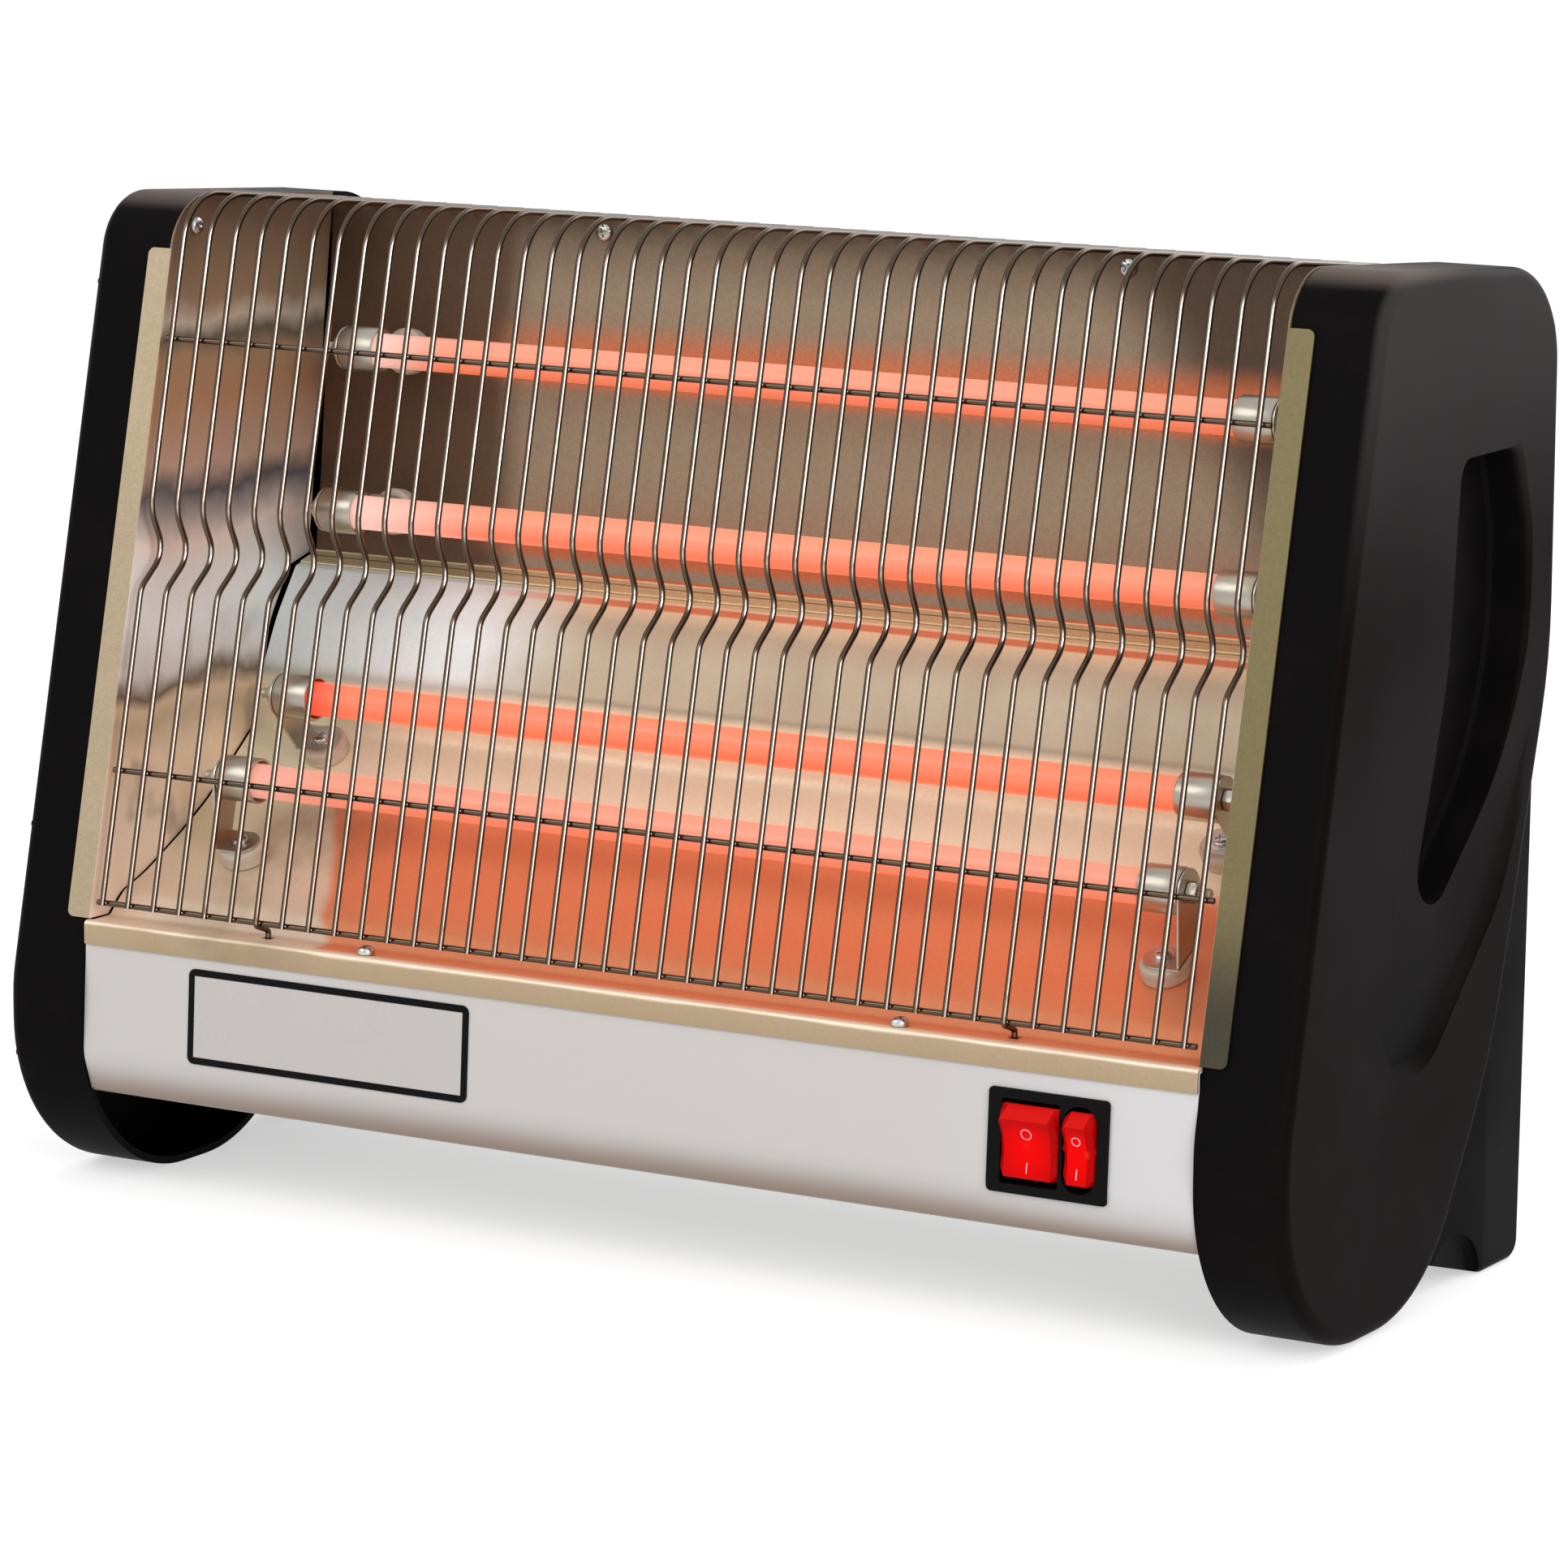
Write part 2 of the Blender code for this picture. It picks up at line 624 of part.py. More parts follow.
def build_panels():
    """The side panels: hollow moulded shells with a leg, a handle pocket, ribs and bosses."""
    outer = BODY_WIDTH / 2
    outline = side_corners()
    rings = [[at("X", PANEL_INNER, p) for p in rounded(outline)]]
    for part in (0.0, 1 / 3, 2 / 3, 1.0):
        angle = part * math.pi / 2
        level = outer - PANEL_EDGE * (1 - math.sin(angle))
        inset = PANEL_EDGE * (1 - math.cos(angle))
        rings.append([at("X", level, p) for p in rounded(outline, inset)])
    shell = loft(rings)

    leg_face = outer - LEG_INSET
    leg = loft([
        [at("X", PANEL_INNER, p) for p in rounded(leg_corners())],
        [at("X", leg_face - LEG_EDGE, p) for p in rounded(leg_corners())],
        [at("X", leg_face, p) for p in rounded(leg_corners(), LEG_EDGE)],
    ])
    reach = LEG_FRONT_Y - LOBE_Y + LEG_TAPER_REACH
    taper = [(leg_face, LEG_FRONT_Y), (leg_face - reach * LEG_TAPER_RATIO, LEG_FRONT_Y - reach),
             (outer + CUT_MARGIN, LEG_FRONT_Y - reach), (outer + CUT_MARGIN, LEG_FRONT_Y)]
    leg = combine(leg, slab(taper, "Z", -CUT_MARGIN, HEEL_HEIGHT + LEG_TAPER_RISE), "DIFFERENCE")
    scoop = rod(SCOOP_RADIUS, (leg_face - SCOOP_DEPTH, SCOOP_Y, 0), (outer, SCOOP_Y, 0), 20)
    leg = combine(leg, scoop, "DIFFERENCE")
    shell = combine(shell, leg, "UNION")

    inside = rounded(outline, PANEL_WALL, step_deg=HIDDEN_STEP_DEG)
    hollow = slab(inside, "X", PANEL_INNER - CUT_MARGIN, outer - PANEL_WALL)
    shell = combine(shell, hollow, "DIFFERENCE")
    leg_inside = rounded(leg_corners(), PANEL_WALL, step_deg=HIDDEN_STEP_DEG)
    leg_hollow = slab(leg_inside, "X", PANEL_INNER - CUT_MARGIN, leg_face - LEG_HOLLOW_ROOF)
    shell = combine(shell, leg_hollow, "DIFFERENCE")

    mid_wall = rounded(outline, PANEL_WALL / 2, step_deg=HIDDEN_STEP_DEG)
    rib_area = slab(mid_wall, "X", PANEL_INNER + RIB_SETBACK, outer - PANEL_WALL / 2)
    rib_heights = (SHIN_HEIGHT * LOW_RIB_SHARE, SHIN_HEIGHT * MIDDLE_RIB_SHARE, PANEL_HEIGHT * HIGH_RIB_SHARE)
    ribs = []
    for height in rib_heights:
        lower = [Vector((TOE_Y - PANEL_EDGE, height)), Vector((REAR_Y + PANEL_EDGE, height + RIB_RISE))]
        ribs.append(slab(sheet_outline(lower, RIB_THICKNESS), "X", PANEL_INNER, outer))
    ribs = combine(joined(ribs), rib_area, "INTERSECT")
    shell = combine(shell, ribs, "UNION")

    pad = slab(rounded(pocket_corners(), -PANEL_WALL, step_deg=HIDDEN_STEP_DEG), "X",
               outer - POCKET_DEPTH - PANEL_WALL, outer - PANEL_WALL / 2)
    sweep_pad = slab(rounded(sweep_corners(), -PANEL_WALL, step_deg=HIDDEN_STEP_DEG), "X",
                     outer - SWEEP_DEPTH - PANEL_WALL, outer - PANEL_WALL / 2)
    within = slab(mid_wall, "X", PANEL_INNER, outer)
    sweep_pad = combine(sweep_pad, within, "INTERSECT")
    shell = combine(shell, sweep_pad, "UNION")
    shell = combine(shell, pad, "UNION")

    bosses = []
    boss_spots = [
        side_screw_spot(),
        (TOE_Y + TOE_BOSS_INSET, BASE_HEIGHT + TOE_BOSS_INSET),
        (REAR_Y - TOP_BOSS_INSET, PANEL_HEIGHT - TOP_BOSS_DROP),
        (HEEL_Y - HEEL_BOSS_INSET, HEEL_HEIGHT + HEEL_BOSS_RISE),
    ]
    for spot in boss_spots:
        start = at("X", PANEL_INNER + GAP, spot)
        end = at("X", outer - PANEL_WALL / 2, spot)
        bosses.append(rod(BOSS_RADIUS, start, end, 8))
    shell = combine(shell, joined(bosses), "UNION")
    holes = []
    for spot in boss_spots:
        start = at("X", PANEL_INNER - CUT_MARGIN, spot)
        end = at("X", PANEL_INNER + SCREW_LENGTH + 2 * CUT_MARGIN, spot)
        holes.append(rod(SCREW_RADIUS + SCREW_PLAY, start, end, 6))
    shell = combine(shell, joined(holes), "DIFFERENCE")

    floor = [at("X", outer - POCKET_DEPTH, p) for p in rounded(pocket_corners(), POCKET_DRAFT)]
    mouth = [at("X", outer + CUT_MARGIN / 2, p) for p in rounded(pocket_corners())]
    shell = combine(shell, loft([floor, mouth]), "DIFFERENCE")
    sweep_floor = []
    for point in rounded(sweep_corners(), SWEEP_WALL):
        depth = SWEEP_DEPTH * (SWEEP_TOP - point.y) / SWEEP_LENGTH
        sweep_floor.append(at("X", outer - depth, point))
    sweep_mouth = [at("X", outer + SWEEP_WALL, p) for p in rounded(sweep_corners(), -CUT_MARGIN / 2)]
    shell = combine(shell, loft([sweep_floor, sweep_mouth]), "DIFFERENCE")
    add_pair("side_panel", shell, ((0.012, 0.012, 0.014), 0.38))


def build_side_reflectors():
    """The chamber's bright cheeks, each with a flange bent out over its panel's front."""
    upper_back = shifted(UPPER_PATH[:2], GAP)
    run = (UPPER_PATH[1] - UPPER_PATH[0]).normalized()
    top_back = meet(upper_back[0], run, TOP_FRONT, TOP_RUN)
    face = GAP + SHEET
    step_low = front_point(CHEEK_FLANGE_TOP, face)
    low = front_point(TRAY_HEIGHT + GAP, face)
    arc = rounded([(*step_low, 0), (*TOP_FRONT, TOP_FRONT_RADIUS), (*top_back, 0)], closed=False)
    outline = [low] + arc + [point for point in LOWER_PATH if point.y > TRAY_HEIGHT + SHEET]
    outline += [Vector((TRAY_DEPTH, TRAY_HEIGHT + GAP))]
    cheek = slab(outline, "X", CHEEK_INNER, CHEEK_OUTER)
    length = (CHEEK_FLANGE_TOP - TRAY_HEIGHT - GAP) / math.cos(LEAN)
    corners = [
        (CHEEK_INNER, 0, 0),
        (PANEL_INNER + CHEEK_FLANGE, 0, CHEEK_CORNER),
        (PANEL_INNER + CHEEK_FLANGE, length, CHEEK_CORNER),
        (CHEEK_INNER, length, 0),
    ]
    rings = []
    for out in (GAP, face):
        ring = []
        for point in rounded(corners, step_deg=30):
            spot = front_point(TRAY_HEIGHT + GAP, out) + FRONT_RUN * point.y
            ring.append(at("X", point.x, spot))
        rings.append(ring)
    cheek = combine(cheek, loft(rings), "UNION")
    spot = side_screw_spot()
    hole = rod(SCREW_RADIUS + SCREW_PLAY, at("X", CHEEK_INNER - CUT_MARGIN, spot),
               at("X", CHEEK_OUTER + CUT_MARGIN, spot), 8)
    cheek = combine(cheek, hole, "DIFFERENCE")
    add_pair("side_reflector", cheek, ((0.62, 0.58, 0.53), 0.30, 1.0))


def screw(spot, axis, length=SCREW_LENGTH):
    """A pan-head screw whose head rests at a spot, its axis pointing out of the head."""
    profile = [
        (0, -length),
        (SCREW_RADIUS, -length),
        (SCREW_RADIUS, 0),
        (SCREW_HEAD_RADIUS, 0),
        (SCREW_HEAD_RADIUS, SCREW_HEAD_HEIGHT * 0.55),
        (SCREW_HEAD_RADIUS * 0.6, SCREW_HEAD_HEIGHT),
        (0, SCREW_HEAD_HEIGHT),
    ]
    return placed(turned(profile, 8), spot, axis)


def screw_spots():
    """The reflector and tray screws: a seat, the direction out of the head."""
    run = (UPPER_PATH[1] - UPPER_PATH[0]).normalized()
    normal = Vector((run.y, -run.x))
    seat = UPPER_PATH[0] + run * REFLECTOR_SCREW_DROP
    spots = {}
    sides = (
        ("left", LEFT_REFLECTOR_SCREW_INSET - REFLECTOR_HALF, LEFT_TRAY_SCREW_INSET - REFLECTOR_HALF),
        ("right", REFLECTOR_HALF - RIGHT_REFLECTOR_SCREW_INSET, REFLECTOR_HALF - RIGHT_TRAY_SCREW_INSET),
    )
    for side, reflector_x, tray_x in sides:
        spots[side + "_reflector_screw"] = (at("X", reflector_x, seat), at("X", 0, normal))
        spots[side + "_tray_screw"] = (Vector((tray_x, TRAY_SCREW_Y, TRAY_HEIGHT)), Vector((0, 0, 1)))
    return spots


def screw_holes(kind):
    """Clearance holes for the screws of one kind, through every sheet they pass."""
    holes = []
    for name, (spot, axis) in screw_spots().items():
        if kind in name:
            start = spot - axis * (SCREW_LENGTH + CUT_MARGIN)
            holes.append(rod(SCREW_RADIUS + SCREW_PLAY, start, spot + axis * CUT_MARGIN, 8))
    return holes


def hook_path():
    """Where a hooked guard wire steps back and drops through its slot in the tray."""
    drop_y = front_point(CROSS_HEIGHTS[0], WIRE).x + HOOK_STEP
    return [Vector((drop_y, TRAY_HEIGHT - HOOK_LENGTH)), Vector((drop_y, TRAY_HEIGHT + WIRE))]


def hook_slots():
    """The slots that the hooked wires drop through."""
    centre = hook_path()[0].x
    half = WIRE / 2 + HOOK_PLAY
    slots = []
    for index in HOOK_WIRES:
        x = wire_x(index)
        corners = [(x - half, centre - half), (x + half, centre - half),
                   (x + half, centre + half), (x - half, centre + half)]
        slots.append(slab(corners, "Z", TRAY_HEIGHT - SCREW_LENGTH, TRAY_HEIGHT + CUT_MARGIN))
    return slots


def build_reflectors():
    """The upper sheet, and the lower sheet with its tray and front lip."""
    upper = slab(sheet_outline(UPPER_PATH), "X", -REFLECTOR_HALF, REFLECTOR_HALF)
    upper = combine(upper, joined(screw_holes("reflector")), "DIFFERENCE")
    add_piece("upper_reflector", upper, ((0.50, 0.46, 0.42), 0.36, 1.0))
    lower = slab(sheet_outline(LOWER_PATH), "X", -REFLECTOR_HALF, REFLECTOR_HALF)
    front = [point for point in LOWER_PATH if point.x < SHEET_BEND + 1e-6]
    front.insert(0, Vector((LIP_OVERLAP, TRAY_HEIGHT)))
    lip = slab(sheet_outline(front), "X", -SHELL_HALF, SHELL_HALF)
    lower = combine(lower, lip, "UNION")
    lower = combine(lower, joined(screw_holes("tray") + hook_slots()), "DIFFERENCE")
    add_piece("lower_reflector", lower, ((0.66, 0.61, 0.52), 0.34, 1.0))
    for name, (spot, axis) in screw_spots().items():
        add_piece(name, screw(spot + axis * GAP, axis), ((0.55, 0.55, 0.56), 0.28, 1.0))
    seat = at("X", CHEEK_INNER - GAP, side_screw_spot())
    add_pair("side_screw", screw(seat, Vector((-1, 0, 0))), ((0.55, 0.55, 0.56), 0.28, 1.0))


# Guard grille

def wire_x(index):
    """Centre of an upright wire."""
    return -GRILLE_HALF + index * 2 * GRILLE_HALF / (WIRE_COUNT - 1)


def cover_corner():
    """Where the rear cover's top meets its flange behind the upper reflector."""
    run = (UPPER_PATH[1] - UPPER_PATH[0]).normalized()
    behind = shifted(UPPER_PATH[:2], SHEET + GAP)[0]
    drop = Vector((0, -COVER_DROP))
    return meet(behind, run, TOP_FRONT + drop, TOP_RUN), run


def grille_path():
    """Centre line of an upright wire and, for each cross wire, the index of its lower edge."""
    half = WIRE / 2
    path = []
    crossings = []
    for height in CROSS_HEIGHTS[:2]:
        crossings.append(len(path))
        path += [front_point(height, WIRE) + FRONT_RUN * step for step in (-half, half)]
    path.append(front_point(LEDGE_HEIGHT + KINK_START, WIRE))
    path.append(front_point(LEDGE_HEIGHT + KINK_MIDDLE, WIRE - KINK_DEPTH))
    path.append(front_point(LEDGE_HEIGHT + KINK_END, WIRE))
    crossings.append(len(path))
    path += [front_point(CROSS_HEIGHTS[2], WIRE) + FRONT_RUN * step for step in (-half, half)]
    slope = math.radians(GRILLE_TOP_SLOPE_DEG)
    back_run = Vector((math.cos(slope), -math.sin(slope)))
    end = Vector((cover_corner()[0].x - GAP, UPPER_PATH[0].y + GAP + half / math.cos(slope) + GAP))
    corner = meet(front_point(CROSS_HEIGHTS[2], WIRE), FRONT_RUN, end, back_run)
    arc = rounded([(*path[-1], 0), (*corner, GRILLE_TOP_RADIUS), (*end, 0)], closed=False, step_deg=21)
    return path + arc[1:], crossings


def build_grille():
    """Forty upright wires in front of three cross wires, welded where they meet."""
    half = WIRE / 2
    path, crossings = grille_path()
    shape = bmesh.new()
    rear_edges = []
    for index in range(WIRE_COUNT):
        hook = hook_path() if index in HOOK_WIRES else []
        line = hook + path
        cells = [len(hook) + crossing for crossing in crossings]
        rails = {}
        for face, offset in (("front", half), ("rear", -half)):
            for side in (-1, 1):
                x = wire_x(index) + side * half
                rails[face, side] = [shape.verts.new(at("X", x, p)) for p in shifted(line, offset)]
        for k in range(len(line) - 1):
            strips = [("front", -1), ("front", 1), ("rear", 1), ("rear", -1)]
            for first, second in zip(strips, strips[1:] + strips[:1]):
                if first[0] == second[0] == "rear" and k in cells:
                    continue
                shape.faces.new((rails[first][k], rails[second][k],
                                 rails[second][k + 1], rails[first][k + 1]))
        for k in (0, len(line) - 1):
            shape.faces.new((rails["front", -1][k], rails["front", 1][k],
                             rails["rear", 1][k], rails["rear", -1][k]))
        rear_edges.append([{side: (rails["rear", side][k], rails["rear", side][k + 1])
                            for side in (-1, 1)} for k in cells])
    for cross, height in enumerate(CROSS_HEIGHTS):
        add_cross_wire(shape, [edges[cross] for edges in rear_edges], height)
    bmesh.ops.recalc_face_normals(shape, faces=shape.faces)
    add_piece("guard_grille", shape, ((0.78, 0.76, 0.74), 0.16, 1.0))


def add_cross_wire(shape, edges, height):
    """A cross wire behind the uprights that shares a square of its front with each of them."""
    half = WIRE / 2

    def section(x, front):
        backs = [front_point(height, -half) + FRONT_RUN * step for step in (-half, half)]
        low, high = [shape.verts.new(at("X", x, point)) for point in backs]
        return [front[0], front[1], high, low]

    def end_section(x):
        fronts = [front_point(height, half) + FRONT_RUN * step for step in (-half, half)]
        return section(x, [shape.verts.new(at("X", x, point)) for point in fronts])

    rings = [end_section(wire_x(0) - half - CROSS_OVERHANG)]
    for index, edge in enumerate(edges):
        rings.append(section(wire_x(index) - half, edge[-1]))
        rings.append(section(wire_x(index) + half, edge[1]))
    rings.append(end_section(wire_x(WIRE_COUNT - 1) + half + CROSS_OVERHANG))
    for step, (near, far) in enumerate(zip(rings, rings[1:])):
        for k in range(4):
            if k == 0 and step % 2 == 1:
                continue
            shape.faces.new((near[k], near[(k + 1) % 4], far[(k + 1) % 4], far[k]))
    shape.faces.new(rings[0])
    shape.faces.new(rings[-1])


# Tubes and what holds them

def build_clip(place):
    """A steel cup round the tube's end, its strap, its foot on the button and the foot's screw."""
    ring = place["ring"]
    x = place["ring_x"]
    outer_end = x + RING_LENGTH / 2
    cup = rod(RING_RADIUS, at("X", x - RING_LENGTH / 2, ring), at("X", outer_end + STRAP / 2, ring), CUP_SIDES)
    foot_level = 2 * GAP + BUTTON_HEIGHT
    foot_spot = place["seat"] + place["normal"] * foot_level
    spread = place["run"] * (FOOT_WIDTH / 2 - GAP)
    rim = [ring + Matrix.Rotation(math.tau * (k + 0.5) / CUP_SIDES, 2) @ Vector((RING_RADIUS - GAP / 2, 0))
           for k in range(CUP_SIDES)]
    strap_end = foot_spot + place["normal"] * STRAP / 2
    cloud = rim + [strap_end + spread, strap_end - spread]
    outline = [cloud[index] for index in convex_hull_2d(cloud)]
    clip = combine(cup, slab(outline, "X", outer_end, outer_end + STRAP), "UNION")
    corners = [(outer_end + STRAP / 2, -FOOT_WIDTH / 2, 0), (outer_end + STRAP / 2, FOOT_WIDTH / 2, 0),
               (x - FOOT_RADIUS, FOOT_WIDTH / 2, FOOT_WIDTH / 2 - GAP),
               (x - FOOT_RADIUS, -FOOT_WIDTH / 2, FOOT_WIDTH / 2 - GAP)]
    rings = []
    for level in (0, STRAP):
        rings.append([at("X", p.x, foot_spot + place["normal"] * level + place["run"] * p.y)
                      for p in rounded(corners, step_deg=40)])
    clip = combine(clip, loft(rings), "UNION")
    head = [(0, -STRAP / 2), (SCREW_HEAD_RADIUS, -STRAP / 2), (SCREW_HEAD_RADIUS, STRAP * 1.1),
            (SCREW_HEAD_RADIUS * 0.6, STRAP + SCREW_HEAD_HEIGHT * 0.8), (0, STRAP + SCREW_HEAD_HEIGHT * 0.8)]
    head_spot = at("X", x, foot_spot + place["normal"] * STRAP / 2)
    clip = combine(clip, placed(turned(head, 8), head_spot, at("X", 0, place["normal"])), "UNION")
    bore = rod(RING_RADIUS - RING_WALL, at("X", x - RING_LENGTH, ring), at("X", outer_end, ring), CUP_SIDES)
    clip = combine(clip, bore, "DIFFERENCE")
    hole = rod(STUD_RADIUS + STUD_PLAY, at("X", x, ring), at("X", outer_end + 2 * STRAP, ring), 8)
    return combine(clip, hole, "DIFFERENCE")


def build_cap(place):
    """A tube's end: a tapered bead against the glass, the stud through the clip, and its hexagon nut."""
    start = place["ring_x"] - RING_LENGTH / 2 + TUBE_SEAT
    plate = place["ring_x"] + RING_LENGTH / 2
    stations = [
        (start + GAP, TUBE_RADIUS, False),
        (plate - GAP, STUD_RADIUS, False),
        (plate + STRAP + GAP, STUD_RADIUS, False),
        (plate + STRAP + GAP, NUT_RADIUS, True),
        (plate + STRAP + GAP + NUT_LENGTH, NUT_RADIUS, True),
        (plate + STRAP + GAP + NUT_LENGTH, STUD_RADIUS, False),
        (plate + STRAP + GAP + NUT_LENGTH + STUD_LENGTH, STUD_RADIUS, False),
    ]
    rings = []
    for level, radius, hexagon in stations:
        ring = []
        for k in range(12):
            reach = radius * math.cos(math.pi / 6) if hexagon and k % 2 else radius
            arm = Matrix.Rotation(math.tau * k / 12, 2) @ Vector((reach, 0))
            ring.append(at("X", level, place["ring"] + arm))
        rings.append(ring)
    return loft(rings)


def build_tubes():
    """Four quartz tubes with their heating coils, and at each end a cap, a clip and a button."""
    button_profile = [(0, 0), (BUTTON_RADIUS, 0), (BUTTON_RADIUS, BUTTON_HEIGHT * 0.70),
                      (BUTTON_RADIUS * 0.86, BUTTON_HEIGHT), (0, BUTTON_HEIGHT)]
    for number, place in enumerate(tube_places(), start=1):
        half = place["ring_x"] - RING_LENGTH / 2 + TUBE_SEAT
        inner = TUBE_RADIUS - TUBE_WALL
        profile = [(TUBE_RADIUS, -half), (TUBE_RADIUS, half), (inner, half), (inner, -half)]
        tube = placed(turned(profile, 12, closed=True), at("X", 0, place["ring"]), (1, 0, 0))
        add_piece(f"quartz_tube_{number}", tube, ((0.86, 0.36, 0.26), 0.30))
        coil = rod(COIL_RADIUS, at("X", -half, place["ring"]), at("X", half, place["ring"]), 8)
        add_piece(f"heating_coil_{number}", coil, ((0.80, 0.18, 0.06), 0.50))
        button = placed(turned(button_profile, CUP_SIDES),
                        at("X", place["ring_x"], place["seat"] + place["normal"] * GAP),
                        at("X", 0, place["normal"]))
        sets = (
            ("tube_cap", build_cap(place), ((0.60, 0.58, 0.55), 0.35, 1.0)),
            ("tube_clip", build_clip(place), ((0.62, 0.61, 0.58), 0.32, 1.0)),
            ("insulator", button, ((0.74, 0.70, 0.62), 0.55)),
        )
        for stem, shape, look in sets:
            add_piece(f"{stem}_{number}_left", mirrored(shape), look)
            add_piece(f"{stem}_{number}_right", shape, look)


# Lower housing

def fascia_path():
    """The fascia's face: tray flange, bowed front and the flange under the base."""
    flange_height = TRAY_HEIGHT - SHEET - GAP
    behind_lip = SHEET + GAP
    foot_y = FASCIA_HEIGHT * FASCIA_FOOT_SHARE
    corners = [
        (TRAY_DEPTH - FASCIA_TOP_SETBACK, flange_height, 0),
        (behind_lip, flange_height, SHEET_BEND),
        (behind_lip, TRAY_HEIGHT - LIP_HEIGHT, FASCIA_LIP_RADIUS),
        (-FASCIA_HEIGHT * FASCIA_BOW_SHARE, BASE_HEIGHT + FASCIA_HEIGHT * FASCIA_BOW_RISE_SHARE,
         FASCIA_HEIGHT * FASCIA_RADIUS_SHARE),
        (foot_y, BASE_HEIGHT, FASCIA_FOOT_RADIUS),
        (foot_y + FASCIA_FLANGE, BASE_HEIGHT, 0),
    ]
    return rounded(corners, closed=False, step_deg=8)


def fascia_front(height):
    """Depth of the fascia's face at a height."""
    path = [point for point in fascia_path() if point.x < SHEET * 6]
    for start, end in zip(path, path[1:]):
        if end.y <= height <= start.y and end.y < start.y:
            return start.x + (end.x - start.x) * (start.y - height) / (start.y - end.y)
    return path[-1].x


def plate_face():
    """Depth of the switch plate's flat face."""
    return min(point.x for point in fascia_path()) - GAP - PLATE_PROUD


def rocker_radius():
    """Radius of the rocker's round ends about its pivot."""
    reach = ROCKER_CROWN + ROCKER_HALF_HEIGHT * math.tan(math.radians(ROCKER_TILT_DEG))
    return math.hypot(reach, ROCKER_HALF_HEIGHT)


def switch_boxes():
    """Inner well of each switch body as (low x, high x) with the half height they share."""
    half_height = rocker_radius() + ROCKER_END_PLAY
    boxes = {}
    for name, x, width in (("wide", WIDE_ROCKER_X, WIDE_ROCKER_WIDTH),
                           ("narrow", NARROW_ROCKER_X, NARROW_ROCKER_WIDTH)):
        reach = width / 2 + ROCKER_SIDE_PLAY
        boxes[name] = (x - reach, x + reach)
    return boxes, half_height


def build_fascia():
    """The bowed front strip with the switches' cut-out."""
    fascia = slab(sheet_outline(fascia_path()), "X", -SHELL_HALF, SHELL_HALF)
    boxes, half_height = switch_boxes()
    low_x = boxes["wide"][0] - SWITCH_WALL - GAP
    high_x = boxes["narrow"][1] + SWITCH_WALL + GAP
    reach = half_height + SWITCH_WALL + GAP
    window = slab([(low_x, PLATE_CENTRE - reach), (high_x, PLATE_CENTRE - reach),
                   (high_x, PLATE_CENTRE + reach), (low_x, PLATE_CENTRE + reach)],
                  "Y", plate_face(), plate_face() + CUT_DEPTH)
    fascia = combine(fascia, window, "DIFFERENCE")
    cuts = joined(screw_holes("tray") + hook_slots())
    fascia = combine(fascia, cuts, "DIFFERENCE")
    add_piece("front_fascia", fascia, ((0.80, 0.77, 0.75), 0.30))


def rocker_window(name, play):
    """Outline in x and z of a rocker's opening: a rectangle or a long oval."""
    boxes, half_height = switch_boxes()
    low_x, high_x = boxes[name]
    low_x -= play
    high_x += play
    corner = SWITCH_WALL if name == "wide" else (high_x - low_x) / 2 - GAP
    return rounded([(low_x, PLATE_CENTRE - half_height - play, corner),
                    (high_x, PLATE_CENTRE - half_height - play, corner),
                    (high_x, PLATE_CENTRE + half_height + play, corner),
                    (low_x, PLATE_CENTRE + half_height + play, corner)], step_deg=22)


def build_switch_plate():
    """The black plate: flat in front, curved behind to lie on the fascia."""
    face = plate_face()
    low = PLATE_CENTRE - PLATE_HEIGHT / 2
    high = PLATE_CENTRE + PLATE_HEIGHT / 2
    steps = 8
    back = [Vector((fascia_front(high - (high - low) * k / steps) - GAP, high - (high - low) * k / steps))
            for k in range(steps + 1)]
    section = [Vector((face, low)), Vector((face, high))] + back
    plate = slab(section, "X", PLATE_X - PLATE_WIDTH / 2, PLATE_X + PLATE_WIDTH / 2)
    border = rounded([(PLATE_X - PLATE_WIDTH / 2, low, PLATE_CORNER),
                      (PLATE_X + PLATE_WIDTH / 2, low, PLATE_CORNER),
                      (PLATE_X + PLATE_WIDTH / 2, high, PLATE_CORNER),
                      (PLATE_X - PLATE_WIDTH / 2, high, PLATE_CORNER)], inset=GAP / 3, step_deg=30)
    plate = combine(plate, slab(border, "Y", face - CUT_MARGIN, face + CUT_DEPTH), "INTERSECT")
    for name, play in (("wide", 0), ("narrow", OVAL_PLAY)):
        window = slab(rocker_window(name, play), "Y", face - CUT_MARGIN, face + CUT_DEPTH)
        plate = combine(plate, window, "DIFFERENCE")
    add_piece("switch_plate", plate, ((0.014, 0.014, 0.016), 0.42))


def pivot_depth():
    """Depth of the rockers' pivot line."""
    return plate_face() + ROCKER_CROWN * math.cos(math.radians(ROCKER_TILT_DEG))


